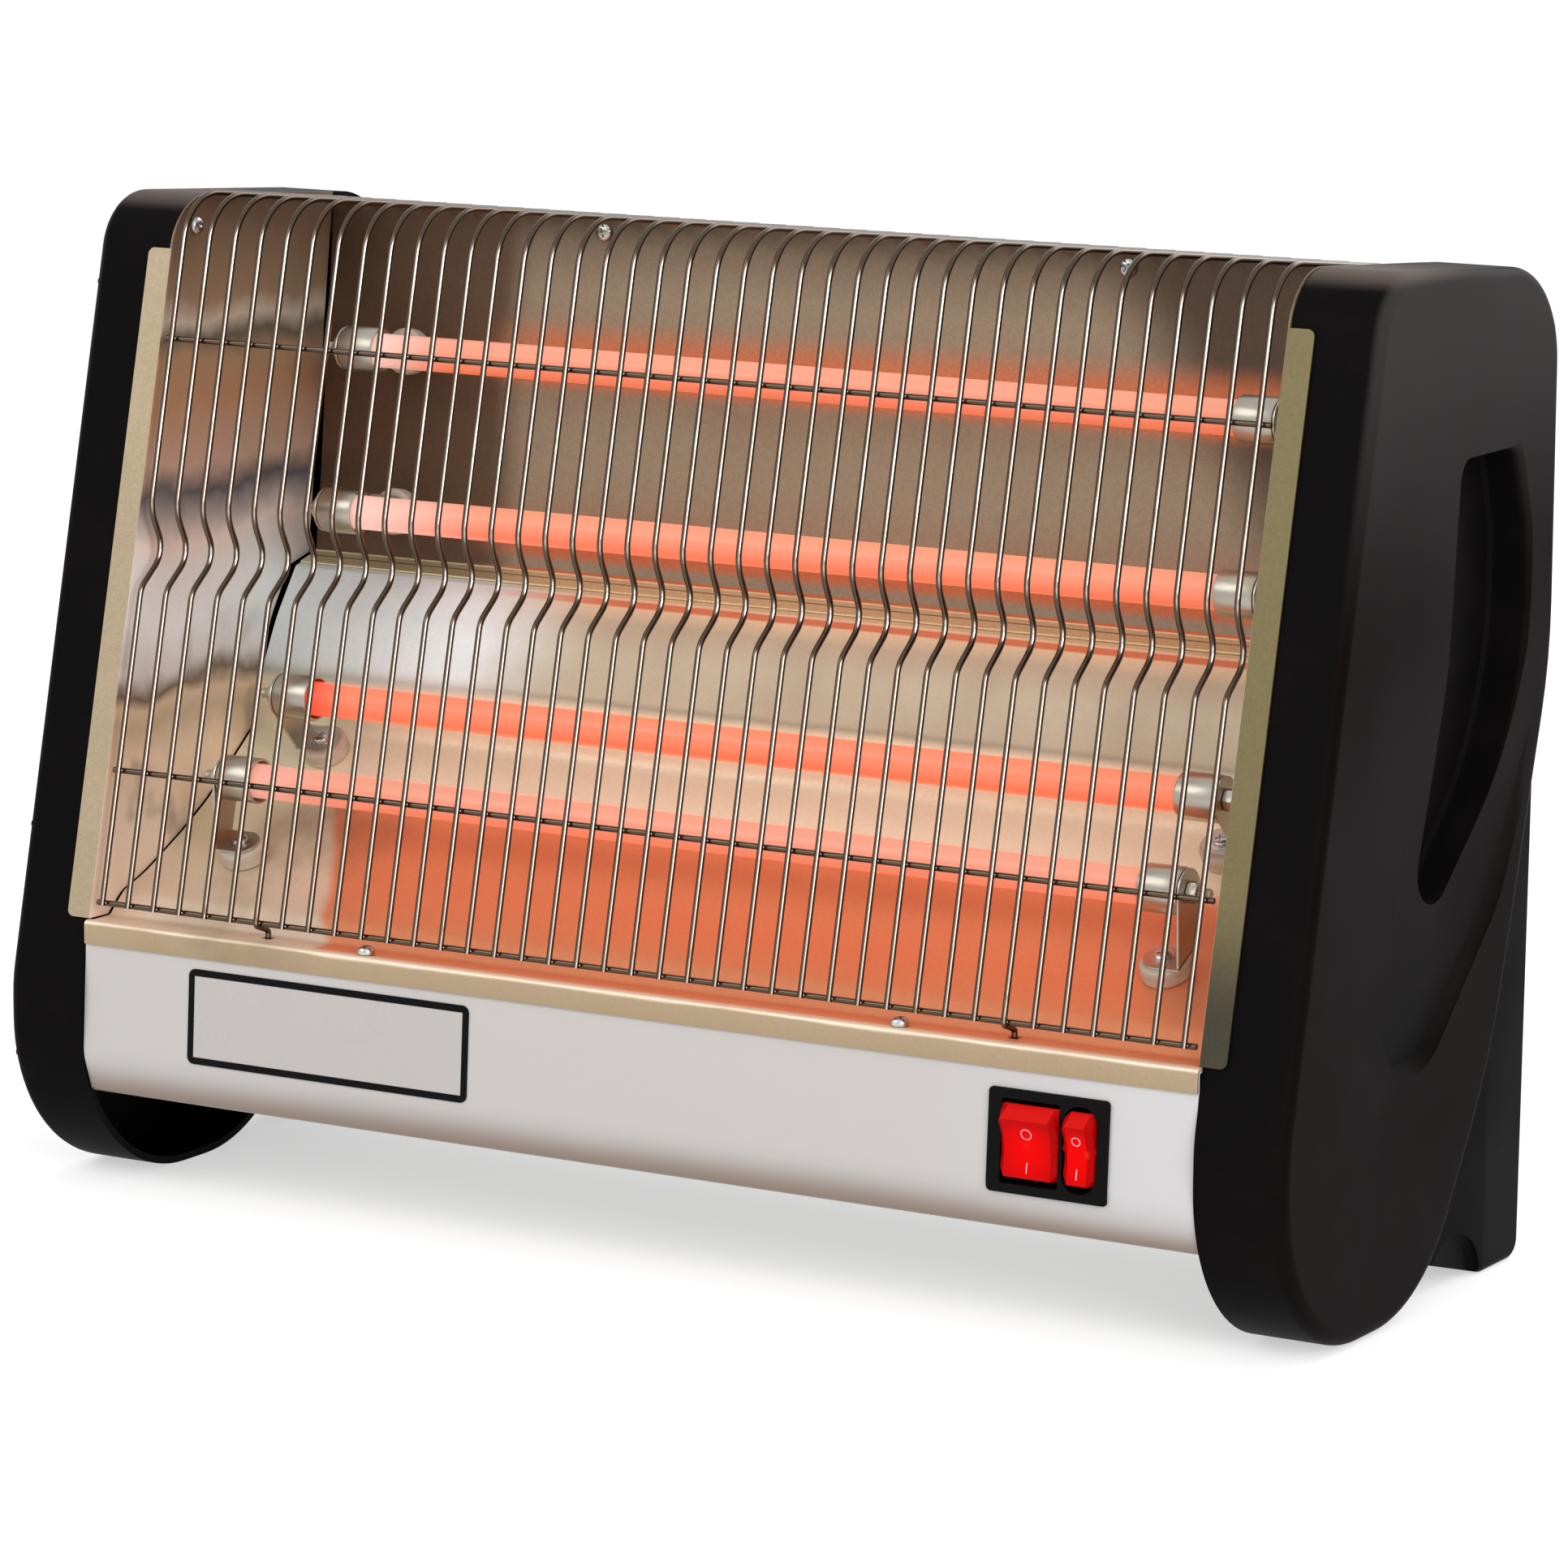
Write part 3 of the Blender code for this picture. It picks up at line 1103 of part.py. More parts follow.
def build_switch(name, x, width):
    """A switch: its open-fronted body with pivot holes, and the rocker that turns in it."""
    boxes, half_height = switch_boxes()
    low_x, high_x = boxes[name]
    reach = half_height + SWITCH_WALL
    front = max(fascia_front(PLATE_CENTRE + reach), fascia_front(PLATE_CENTRE - reach)) + GAP
    outer = [(low_x - SWITCH_WALL, PLATE_CENTRE - reach), (high_x + SWITCH_WALL, PLATE_CENTRE - reach),
             (high_x + SWITCH_WALL, PLATE_CENTRE + reach), (low_x - SWITCH_WALL, PLATE_CENTRE + reach)]
    body = slab(outer, "Y", front, front + SWITCH_DEPTH)
    well = [(low_x, PLATE_CENTRE - half_height), (high_x, PLATE_CENTRE - half_height),
            (high_x, PLATE_CENTRE + half_height), (low_x, PLATE_CENTRE + half_height)]
    body = combine(body, slab(well, "Y", front - CUT_MARGIN, front + SWITCH_WELL), "DIFFERENCE")
    pivot = Vector((x, pivot_depth(), PLATE_CENTRE))
    hole = rod(PIVOT_RADIUS + PIVOT_PLAY, pivot - Vector((width, 0, 0)), pivot + Vector((width, 0, 0)), 16)
    body = combine(body, hole, "DIFFERENCE")
    blades = []
    for height in (PLATE_CENTRE - BLADE_SPREAD, PLATE_CENTRE + BLADE_SPREAD):
        low, high = height - BLADE_HALF_THICKNESS, height + BLADE_HALF_THICKNESS
        left, right = x - BLADE_HALF_WIDTH, x + BLADE_HALF_WIDTH
        blade = [(left, low), (right, low), (right, high), (left, high)]
        blades.append(slab(blade, "Y", front + SWITCH_DEPTH - SWITCH_WALL, front + SWITCH_DEPTH + BLADE_LENGTH))
    body = combine(body, joined(blades), "UNION")
    add_piece(name + "_switch_body", body, ((0.018, 0.018, 0.020), 0.55))

    tilt = math.radians(ROCKER_TILT_DEG)
    tip = ROCKER_CROWN + ROCKER_HALF_HEIGHT * math.tan(tilt)
    radius = rocker_radius()
    section = [Vector((-ROCKER_CROWN, 0))]
    for side in (-1, 1):
        start = math.atan2(side * ROCKER_HALF_HEIGHT, -tip)
        end = math.atan2(side * math.sqrt(radius ** 2 - ROCKER_BELLY ** 2), ROCKER_BELLY)
        steps = 3
        arc = [Vector((radius * math.cos(a), radius * math.sin(a)))
               for a in (start + (end - start) * k / steps for k in range(steps + 1))]
        section += arc if side < 0 else list(reversed(arc))
    rocker = slab(section, "X", -width / 2, width / 2)
    if name == "narrow":
        end = width / 2 - GAP
        oval = rounded([(-width / 2, -radius, end), (width / 2, -radius, end),
                        (width / 2, radius, end), (-width / 2, radius, end)], step_deg=22)
        rocker = combine(rocker, slab(oval, "Y", -CUT_DEPTH, CUT_DEPTH), "INTERSECT")
    pin_reach = width / 2 + ROCKER_SIDE_PLAY + SWITCH_WALL * 0.75
    rocker = combine(rocker, rod(PIVOT_RADIUS, (-pin_reach, 0, 0), (pin_reach, 0, 0), 16), "UNION")
    bmesh.ops.rotate(rocker, cent=(0, 0, 0), matrix=Matrix.Rotation(tilt, 3, "X"), verts=rocker.verts)
    bmesh.ops.translate(rocker, verts=rocker.verts, vec=pivot)
    add_piece(name + "_rocker", rocker, ((0.78, 0.015, 0.015), 0.22), pivot)


def cover_foot():
    """Depth of the rear cover's foot, just inside the heel of the legs."""
    return LEG_FRONT_Y + LEG_FOOT_LENGTH - COVER_FOOT_INSET


def cover_path():
    """The rear cover's face: base flange, back, rounded top and the flange behind the reflector."""
    corner, run = cover_corner()
    rear = REAR_Y - COVER_INSET
    foot_y = cover_foot()
    top = meet(TOP_FRONT - Vector((0, COVER_DROP)), TOP_RUN, Vector((rear, 0)), Vector((0, 1)))
    corners = [
        (foot_y - COVER_FLANGE, BASE_HEIGHT, 0),
        (foot_y, BASE_HEIGHT, COVER_FOOT_RADIUS),
        (rear, BELLY_HEIGHT + COVER_BELLY_RISE, 0),
        (top.x, top.y, TOP_REAR_RADIUS - COVER_INSET),
        (corner.x, corner.y, SHEET_BEND),
        (corner.x + run.x * COVER_TOP_FLANGE, corner.y + run.y * COVER_TOP_FLANGE, 0),
    ]
    return rounded(corners, closed=False, step_deg=15)


def cover_spot(height):
    """A point on the cover's back, the upward run there and the direction out of it."""
    path = cover_path()
    for start, end in zip(path, path[1:]):
        if start.y <= height <= end.y and end.y - start.y > COVER_FLANGE:
            run = (end - start).normalized()
            spot = start + (end - start) * ((height - start.y) / (end.y - start.y))
            return spot, run, Vector((run.y, -run.x))
    return path[2], Vector((0, 1)), Vector((1, 0))


def build_rear_cover():
    """The back sheet with two groups of louvres, each a slot under a pressed lip."""
    cover = slab(sheet_outline(cover_path()), "X", -SHELL_HALF, SHELL_HALF)
    slots = []
    lips = []
    starts = [LOUVRE_LOW_START + LOUVRE_PITCH * row for row in range(LOUVRE_ROWS_LOW)]
    highest = PANEL_HEIGHT - LOUVRE_HIGH_DROP
    starts += [highest - LOUVRE_PITCH * row for row in range(LOUVRE_ROWS_HIGH)]
    first = LOUVRE_MARGIN + LOUVRE_LENGTH / 2 - SHELL_HALF
    for height in starts:
        spot, run, out = cover_spot(height)
        for column in range(LOUVRE_COLUMNS):
            x = first - 2 * first * column / (LOUVRE_COLUMNS - 1)
            slot = [spot - out * 2 * CUT_MARGIN, spot + out * 2 * CUT_MARGIN]
            slot += [point + run * LOUVRE_OPENING for point in reversed(slot)]
            slots.append(slab(slot, "X", x - LOUVRE_LENGTH / 2, x + LOUVRE_LENGTH / 2))
            top = spot + run * (LOUVRE_OPENING + SHEET)
            lip = [top - out * SHEET / 2 + run * SHEET, top - out * SHEET / 2 - run * SHEET / 2,
                   top + out * LOUVRE_REACH - run * LOUVRE_REACH * 1.4,
                   top + out * LOUVRE_REACH - run * (LOUVRE_REACH * 1.4 - SHEET)]
            reach = LOUVRE_LENGTH / 2 + LOUVRE_HOOD_LAP
            lips.append(slab(lip, "X", x - reach, x + reach))
    cover = combine(cover, joined(slots), "DIFFERENCE")
    cover = combine(cover, joined(lips), "UNION")
    spot, run, out = cover_spot(GLAND_HEIGHT)
    x = SHELL_HALF - GLAND_INSET
    through = out * 2 * CUT_MARGIN
    hole = rod(GLAND_NECK + GAP, at("X", x, spot - through), at("X", x, spot + through), 12)
    cover = combine(cover, hole, "DIFFERENCE")
    cover = combine(cover, joined(screw_holes("reflector")), "DIFFERENCE")
    add_piece("rear_cover", cover, ((0.020, 0.020, 0.022), 0.50))


def build_gland():
    """The cord's inlet: a flanged bush through the rear cover, held by a nut inside."""
    spot, run, out = cover_spot(GLAND_HEIGHT)
    inner = -SHEET - GAP
    profile = [
        (GLAND_BORE, GLAND_REACH),
        (GLAND_NECK + SHEET, GLAND_REACH),
        (GLAND_FLANGE, GLAND_REACH * 0.6),
        (GLAND_FLANGE, GAP),
        (GLAND_NECK, GAP),
        (GLAND_NECK, inner),
        (GLAND_FLANGE, inner),
        (GLAND_FLANGE, inner - GLAND_NUT),
        (GLAND_NECK, inner - GLAND_NUT),
        (GLAND_NECK, inner - GLAND_TAIL),
        (GLAND_BORE, inner - GLAND_TAIL),
    ]
    gland = placed(turned(profile, 10, closed=True), at("X", SHELL_HALF - GLAND_INSET, spot), at("X", 0, out))
    add_piece("cord_gland", gland, ((0.015, 0.015, 0.016), 0.45))


def build_base():
    """The lower housing's floor with its vents."""
    level = BASE_HEIGHT + SHEET + GAP
    front = FASCIA_HEIGHT * FASCIA_FOOT_SHARE + BASE_MARGIN
    rear = cover_foot() - SHEET - BASE_MARGIN
    outline = [(-SHELL_HALF, front), (SHELL_HALF, front), (SHELL_HALF, rear), (-SHELL_HALF, rear)]
    base = slab(outline, "Z", level, level + SHEET)
    vents = []
    middle = (front + rear) / 2
    for index in range(VENT_COUNT):
        x = (SHELL_HALF - VENT_MARGIN) * (2 * index / (VENT_COUNT - 1) - 1)
        left, right = x - VENT_WIDTH / 2, x + VENT_WIDTH / 2
        near, far = middle - VENT_LENGTH / 2, middle + VENT_LENGTH / 2
        corners = [(left, near), (right, near), (right, far), (left, far)]
        vents.append(slab(corners, "Z", level - CUT_MARGIN, level + CUT_MARGIN))
    base = combine(base, joined(vents), "DIFFERENCE")
    add_piece("base_plate", base, ((0.35, 0.34, 0.33), 0.45, 1.0))


def block_front():
    """The middle of the terminal block's front face, where the harness ends."""
    floor = BASE_HEIGHT + 2 * SHEET + 2 * GAP
    return Vector((BLOCK_X, BLOCK_Y, floor + BLOCK_HEIGHT * 0.45))


def build_wiring():
    """The terminal block on the base, and the lead that runs from it to the switches."""
    floor = BASE_HEIGHT + 2 * SHEET + 2 * GAP
    towers = 3
    tower = BLOCK_WIDTH / (towers + (towers - 1) * BLOCK_GROOVE_SHARE)
    pitch = tower * (1 + BLOCK_GROOVE_SHARE)
    section = [(BLOCK_X - BLOCK_WIDTH / 2, floor), (BLOCK_X + BLOCK_WIDTH / 2, floor)]
    for index in reversed(range(towers)):
        left = BLOCK_X - BLOCK_WIDTH / 2 + index * pitch
        section += [(left + tower, floor + BLOCK_HEIGHT), (left, floor + BLOCK_HEIGHT)]
        if index > 0:
            web = floor + BLOCK_HEIGHT * BLOCK_WEB_SHARE
            section += [(left, web), (left - tower * BLOCK_GROOVE_SHARE, web)]
    block = slab(section, "Y", BLOCK_Y, BLOCK_Y + BLOCK_DEPTH)
    wells = []
    for index in range(towers):
        x = BLOCK_X - BLOCK_WIDTH / 2 + index * pitch + tower / 2
        top = Vector((x, BLOCK_Y + BLOCK_DEPTH / 2, floor + BLOCK_HEIGHT + STRAP))
        wells.append(rod(tower * 0.28, top, top - Vector((0, 0, BLOCK_HEIGHT * 0.45)), 8))
    block = combine(block, joined(wells), "DIFFERENCE")
    add_piece("terminal_block", block, ((0.72, 0.68, 0.60), 0.50))

    boxes, half_height = switch_boxes()
    reach = half_height + SWITCH_WALL
    rear = max(fascia_front(PLATE_CENTRE + reach), fascia_front(PLATE_CENTRE - reach)) + GAP + SWITCH_DEPTH
    start = Vector((WIDE_ROCKER_X, rear + GAP, PLATE_CENTRE))
    end = block_front() - Vector((0, GAP, 0))
    pull = (end - start).length * 0.45
    lead = bpy.data.curves.new("wiring_harness", "CURVE")
    lead.dimensions = "3D"
    lead.bevel_depth = HARNESS_RADIUS
    lead.bevel_resolution = 1
    lead.use_fill_caps = True
    spline = lead.splines.new("POLY")
    steps = 8
    spline.points.add(steps)
    handles = (start, start + Vector((0, pull, 0)), end - Vector((0, pull, 0)), end)
    for k in range(steps + 1):
        t = k / steps
        weights = ((1 - t) ** 3, 3 * t * (1 - t) ** 2, 3 * t ** 2 * (1 - t), t ** 3)
        point = sum((handle * weight for handle, weight in zip(handles, weights)), Vector((0, 0, 0)))
        spline.points[k].co = (*point, 1)
    lead.materials.append(finish("wiring_harness", (0.65, 0.60, 0.52), 0.60))
    harness = bpy.data.objects.new("wiring_harness", lead)
    bpy.context.scene.collection.objects.link(harness)
    pieces.append(harness)


def centre_depth():
    """Hangs every piece from one empty, placed so that the depth is centred on the origin."""
    bpy.context.view_layer.update()
    depths = [(piece.matrix_world @ Vector(corner)).y for piece in pieces for corner in piece.bound_box]
    heater = bpy.data.objects.new("heater", None)
    bpy.context.scene.collection.objects.link(heater)
    for piece in pieces:
        piece.parent = heater
    heater.location.y = -(min(depths) + max(depths)) / 2
    bpy.context.view_layer.update()


for old in list(bpy.data.objects):
    bpy.data.objects.remove(old)
pieces = []
build_panels()
build_side_reflectors()
build_reflectors()
build_grille()
build_tubes()
build_fascia()
build_switch_plate()
build_switch("wide", WIDE_ROCKER_X, WIDE_ROCKER_WIDTH)
build_switch("narrow", NARROW_ROCKER_X, NARROW_ROCKER_WIDTH)
build_rear_cover()
build_gland()
build_base()
build_wiring()
centre_depth()
print(len(pieces), "pieces; depth shift", pieces[0].parent.location.y, "rocker pivots at y", pivot_depth())
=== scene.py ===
import math

import bmesh
import bpy
from mathutils import Matrix, Vector
from mathutils.geometry import convex_hull_2d


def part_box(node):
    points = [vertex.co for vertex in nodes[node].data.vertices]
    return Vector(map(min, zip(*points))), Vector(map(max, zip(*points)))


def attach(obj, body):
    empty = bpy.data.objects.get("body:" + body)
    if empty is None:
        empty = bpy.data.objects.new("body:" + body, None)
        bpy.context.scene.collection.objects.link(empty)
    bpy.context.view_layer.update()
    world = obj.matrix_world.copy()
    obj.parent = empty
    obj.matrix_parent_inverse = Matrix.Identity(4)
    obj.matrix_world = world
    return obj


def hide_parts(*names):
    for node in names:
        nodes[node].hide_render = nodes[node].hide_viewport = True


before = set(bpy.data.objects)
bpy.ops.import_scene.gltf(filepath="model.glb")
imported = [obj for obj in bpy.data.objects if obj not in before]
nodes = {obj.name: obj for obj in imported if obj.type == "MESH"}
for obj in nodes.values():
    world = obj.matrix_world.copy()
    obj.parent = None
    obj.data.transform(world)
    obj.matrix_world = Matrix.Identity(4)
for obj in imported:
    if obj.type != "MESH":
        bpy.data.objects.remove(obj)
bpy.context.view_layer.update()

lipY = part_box("lower_reflector")[0].y  # the tray's lip; depths below run back from it
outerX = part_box("right_side_panel")[1].x
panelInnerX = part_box("right_side_panel")[0].x
print("heater frame loaded:", len(nodes), "nodes")


# Drawing: flat outlines, solids through rings, turned shapes and sheets

def place(x, y, z):
    return Vector((x, lipY + y, z))


def onPlane(axis, level, point):
    if axis == "X":
        return place(level, point[0], point[1])
    if axis == "Y":
        return place(point[0], level, point[1])
    return place(point[0], point[1], level)


def roundCorners(corners, inset=0.0, closed=True, stepDeg=5.0):
    # corners are (a, b, radius); an inset moves the line to its left
    spots = [Vector(corner[:2]) for corner in corners]
    count = len(spots)
    points = []
    for index, corner in enumerate(corners):
        if not closed and index in (0, count - 1):
            points.append(spots[index])
            continue
        before = (spots[index] - spots[index - 1]).normalized()
        after = (spots[(index + 1) % count] - spots[index]).normalized()
        turn = math.atan2(before.x * after.y - before.y * after.x, before.dot(after))
        side = 1.0 if turn > 0 else -1.0
        leftBefore = Vector((-before.y, before.x))
        leftAfter = Vector((-after.y, after.x))
        spot = spots[index] + (leftBefore + leftAfter) * (inset / (1.0 + leftBefore.dot(leftAfter)))
        if corner[2] == 0:
            points.append(spot)
            continue
        radius = max(corner[2] - inset * side, 0.0002)
        start = spot - before * radius * math.tan(abs(turn) / 2)
        centre = start + leftBefore * side * radius
        steps = max(2, round(math.degrees(abs(turn)) / stepDeg))
        for k in range(steps + 1):
            points.append(centre + Matrix.Rotation(turn * k / steps, 2) @ (start - centre))
    return points


def shifted(path, distance):
    lefts = []
    for start, end in zip(path, path[1:]):
        run = (end - start).normalized()
        lefts.append(Vector((-run.y, run.x)))
    moved = []
    for index, point in enumerate(path):
        first = lefts[max(index - 1, 0)]
        second = lefts[min(index, len(lefts) - 1)]
        moved.append(point + (first + second) * (distance / (1.0 + first.dot(second))))
    return moved


def meet(point, run, otherPoint, otherRun):
    across = run.x * otherRun.y - run.y * otherRun.x
    gap = otherPoint - point
    return point + run * ((gap.x * otherRun.y - gap.y * otherRun.x) / across)


def drawLoop(shape, points, closed=True):
    verts = [shape.verts.new(point) for point in points]
    pairs = list(zip(verts, verts[1:]))
    if closed:
        pairs.append((verts[-1], verts[0]))
    return verts, [shape.edges.new(pair) for pair in pairs]


def growLoop(shape, verts, edges, points):
    grown = bmesh.ops.extrude_edge_only(shape, edges=edges)["geom"]
    fresh = {item for item in grown if isinstance(item, bmesh.types.BMVert)}
    follow = {}
    for vert in fresh:
        for edge in vert.link_edges:
            other = edge.other_vert(vert)
            if other not in fresh:
                follow[other] = vert
    nextVerts = [follow[vert] for vert in verts]
    for vert, point in zip(nextVerts, points):
        vert.co = point
    nextEdges = [item for item in grown if isinstance(item, bmesh.types.BMEdge)
                 and all(vert in fresh for vert in item.verts)]
    return nextVerts, nextEdges


def skin(rings):
    # a closed solid through matching rings
    shape = bmesh.new()
    verts, edges = drawLoop(shape, rings[0])
    firstEdges = edges
    for ring in rings[1:]:
        verts, edges = growLoop(shape, verts, edges, ring)
    bmesh.ops.edgeloop_fill(shape, edges=firstEdges)
    bmesh.ops.edgeloop_fill(shape, edges=edges)
    bmesh.ops.recalc_face_normals(shape, faces=shape.faces)
    return shape


def slab(outline, axis, low, high):
    return skin([[onPlane(axis, level, point) for point in outline] for level in (low, high)])


def sheetOutline(path, thickness):
    return path + list(reversed(shifted(path, thickness)))


def turned(profile, sides, closed=False):
    # profile is (radius, height), spun round Z
    shape = bmesh.new()
    verts, edges = drawLoop(shape, [Vector((radius, 0, height)) for radius, height in profile], closed)
    bmesh.ops.spin(shape, geom=verts + edges, cent=(0, 0, 0), axis=(0, 0, 1),
                   angle=math.tau, steps=sides, use_merge=True)
    bmesh.ops.remove_doubles(shape, verts=shape.verts, dist=1e-6)
    bmesh.ops.recalc_face_normals(shape, faces=shape.faces)
    return shape


def rod(radius, start, end, sides=24):
    run = end - start
    return aimed(turned([(0, 0), (radius, 0), (radius, run.length), (0, run.length)], sides), start, run)


def aimed(shape, spot, axis):
    turn = Vector((0, 0, 1)).rotation_difference(Vector(axis).normalized()).to_matrix().to_4x4()
    bmesh.ops.transform(shape, matrix=Matrix.Translation(spot) @ turn, verts=shape.verts)
    return shape


def block(size, bevelWidth=0.0, segments=3):
    shape = bmesh.new()
    bmesh.ops.create_cube(shape, size=1.0)
    bmesh.ops.scale(shape, vec=size, verts=shape.verts)
    if bevelWidth:
        soften(shape, shape.edges, bevelWidth, segments)
    return shape


def soften(shape, edges, width, segments=3):
    bmesh.ops.bevel(shape, geom=list(edges), offset=width, offset_type="OFFSET", affect="EDGES",
                    segments=segments, profile=0.5, material=-1, clamp_overlap=True)


def linked(name, data):
    thing = bpy.data.objects.new(name, data)
    bpy.context.scene.collection.objects.link(thing)
    return thing


def gathered(shapes):
    whole = bmesh.new()
    for shape in shapes:
        mesh = bpy.data.meshes.new("part")
        shape.to_mesh(mesh)
        whole.from_mesh(mesh)
        bpy.data.meshes.remove(mesh)
        shape.free()
    return whole


def mirroredX(shape):
    copy = shape.copy()
    bmesh.ops.scale(copy, vec=(-1, 1, 1), verts=copy.verts)
    bmesh.ops.reverse_faces(copy, faces=copy.faces)
    return copy


def carve(body, tool, operation="DIFFERENCE"):
    holders = []
    for shape in (body, tool):
        mesh = bpy.data.meshes.new("part")
        shape.to_mesh(mesh)
        shape.free()
        holders.append(linked("part", mesh))
    modifier = holders[0].modifiers.new("carve", "BOOLEAN")
    modifier.operation = operation
    modifier.solver = "EXACT"
    modifier.object = holders[1]
    graph = bpy.context.evaluated_depsgraph_get()
    mesh = bpy.data.meshes.new_from_object(holders[0].evaluated_get(graph))
    result = bmesh.new()
    result.from_mesh(mesh)
    bpy.data.meshes.remove(mesh)
    for holder in holders:
        held = holder.data
        bpy.data.objects.remove(holder)
        bpy.data.meshes.remove(held)
    bmesh.ops.remove_doubles(result, verts=result.verts, dist=2e-6)
    bmesh.ops.dissolve_limit(result, angle_limit=math.radians(0.1), verts=result.verts, edges=result.edges)
    return result


def newPiece(name, shape, material, replaces=(), body="casing", sharpDeg=34.0, weighted=False):
    mesh = bpy.data.meshes.new(name)
    shape.to_mesh(mesh)
    shape.free()
    mesh.shade_smooth()
    mesh.set_sharp_from_angle(angle=math.radians(sharpDeg))
    for item in material if isinstance(material, (list, tuple)) else [material]:
        mesh.materials.append(item)
    piece = linked(name, mesh)
    if weighted:
        modifier = piece.modifiers.new("even normals", "WEIGHTED_NORMAL")
        modifier.keep_sharp = True
        modifier.weight = 80
    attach(piece, body)
    if replaces:
        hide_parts(*([replaces] if isinstance(replaces, str) else replaces))
    return piece


# Shading: one desk of helpers, groups that several finishes share, then a finish for each surface

black = (0.0, 0.0, 0.0)
white = (1.0, 1.0, 1.0)
noiseSpan = (0.3, 0.7)  # where most of a noise's values lie
coilPitch = 0.0021


class Desk:
    def __init__(self, tree):
        self.tree = tree

    def feed(self, socket, value):
        if isinstance(value, bpy.types.NodeSocket):
            self.tree.links.new(value, socket)
        elif isinstance(value, tuple) and len(value) == 3 and socket.type == "RGBA":
            socket.default_value = (*value, 1.0)
        else:
            socket.default_value = value

    def add(self, kind, settings=None, values=(), **inputs):
        # values fill the inputs in their order, the rest go by name
        node = self.tree.nodes.new(kind)
        for key, value in (settings or {}).items():
            setattr(node, key, value)
        for index, value in enumerate(values):
            self.feed(node.inputs[index], value)
        for key, value in inputs.items():
            self.feed(node.inputs[key.replace("_", " ")], value)
        return node

    def math(self, operation, first, second=0.0):
        return self.add("ShaderNodeMath", {"operation": operation}, (first, second)).outputs[0]

    def times(self, first, *others):
        for other in others:
            first = self.math("MULTIPLY", first, other)
        return first

    def most(self, first, *others):
        for other in others:
            first = self.math("MAXIMUM", first, other)
        return first

    def plus(self, first, second):
        return self.math("ADD", first, second)

    def minus(self, first, second):
        return self.math("SUBTRACT", first, second)

    def far(self, value, middle=0.0):
        return self.math("ABSOLUTE", self.minus(value, middle) if middle else value)

    def drift(self, noise, amount):
        return self.times(self.minus(noise, 0.5), amount)

    def mix(self, factor, first, second):
        node = self.add("ShaderNodeMix", {"data_type": "RGBA"})
        for index, value in ((0, factor), (6, first), (7, second)):
            self.feed(node.inputs[index], value)
        return node.outputs[2]

    def tint(self, shade, paint, *masks):
        # paint is a colour and how much of it covers the shade where the masks are 1
        colour, share = paint
        return self.mix(self.times(*masks, share), shade, colour)

    def span(self, value, low, high, toLow=0.0, toHigh=1.0, smooth=True):
        kind = {"interpolation_type": "SMOOTHSTEP" if smooth else "LINEAR"}
        return self.add("ShaderNodeMapRange", kind, (value, low, high, toLow, toHigh)).outputs[0]

    def band(self, value, firstEdge, secondEdge):
        return self.times(self.span(value, *firstEdge), self.span(value, *secondEdge))

    def noise(self, vector, scale, detail=3.0, rough=0.5):
        return self.add("ShaderNodeTexNoise", Vector=vector, Scale=scale, Detail=detail,
                        Roughness=rough).outputs[0]

    def ramp(self, value, stops):
        node = self.add("ShaderNodeValToRGB", None, (value,))
        elements = node.color_ramp.elements
        while len(elements) < len(stops):
            elements.new(0.5)
        for element, (position, colour) in zip(elements, stops):
            element.position = position
            element.color = (*colour, 1.0)
        return node.outputs[0]

    def coords(self):
        return self.add("ShaderNodeTexCoord").outputs["Object"]

    def place(self):
        # the object coordinates, whole and as x, y and z
        coords = self.coords()
        return (coords, *self.add("ShaderNodeSeparateXYZ", Vector=coords).outputs)

    def group(self, tree, **inputs):
        return self.add("ShaderNodeGroup", {"node_tree": tree}, **inputs).outputs


class Finish(Desk):
    def __init__(self, name, **constants):
        self.material = bpy.data.materials.new(name)
        self.material.use_nodes = True
        super().__init__(self.material.node_tree)
        self.inputs = self.tree.nodes["Principled BSDF"].inputs
        for key, value in constants.items():
            self.feed(self.inputs[key.replace("_", " ")], value)

    def coat(self, colour, rough, relief=None):
        # relief is a height with the strength and distance of its bump
        self.feed(self.inputs["Base Color"], colour)
        self.feed(self.inputs["Roughness"], rough)
        if relief:
            height, strength, distance = relief
            bump = self.add("ShaderNodeBump", Height=height, Strength=strength, Distance=distance)
            self.feed(self.inputs["Normal"], bump.outputs[0])
        return self.material


def newGroup(name, inputs, outputs):
    tree = bpy.data.node_groups.new(name, "ShaderNodeTree")
    for label, kind, value in inputs:
        socket = tree.interface.new_socket(name=label, in_out="INPUT", socket_type="NodeSocket" + kind)
        if value is not None:
            socket.default_value = value
    for label in outputs:
        tree.interface.new_socket(name=label, in_out="OUTPUT", socket_type="NodeSocketFloat")
    start = tree.nodes.new("NodeGroupInput")
    end = tree.nodes.new("NodeGroupOutput")
    return tree, Desk(tree), start.outputs, end.inputs


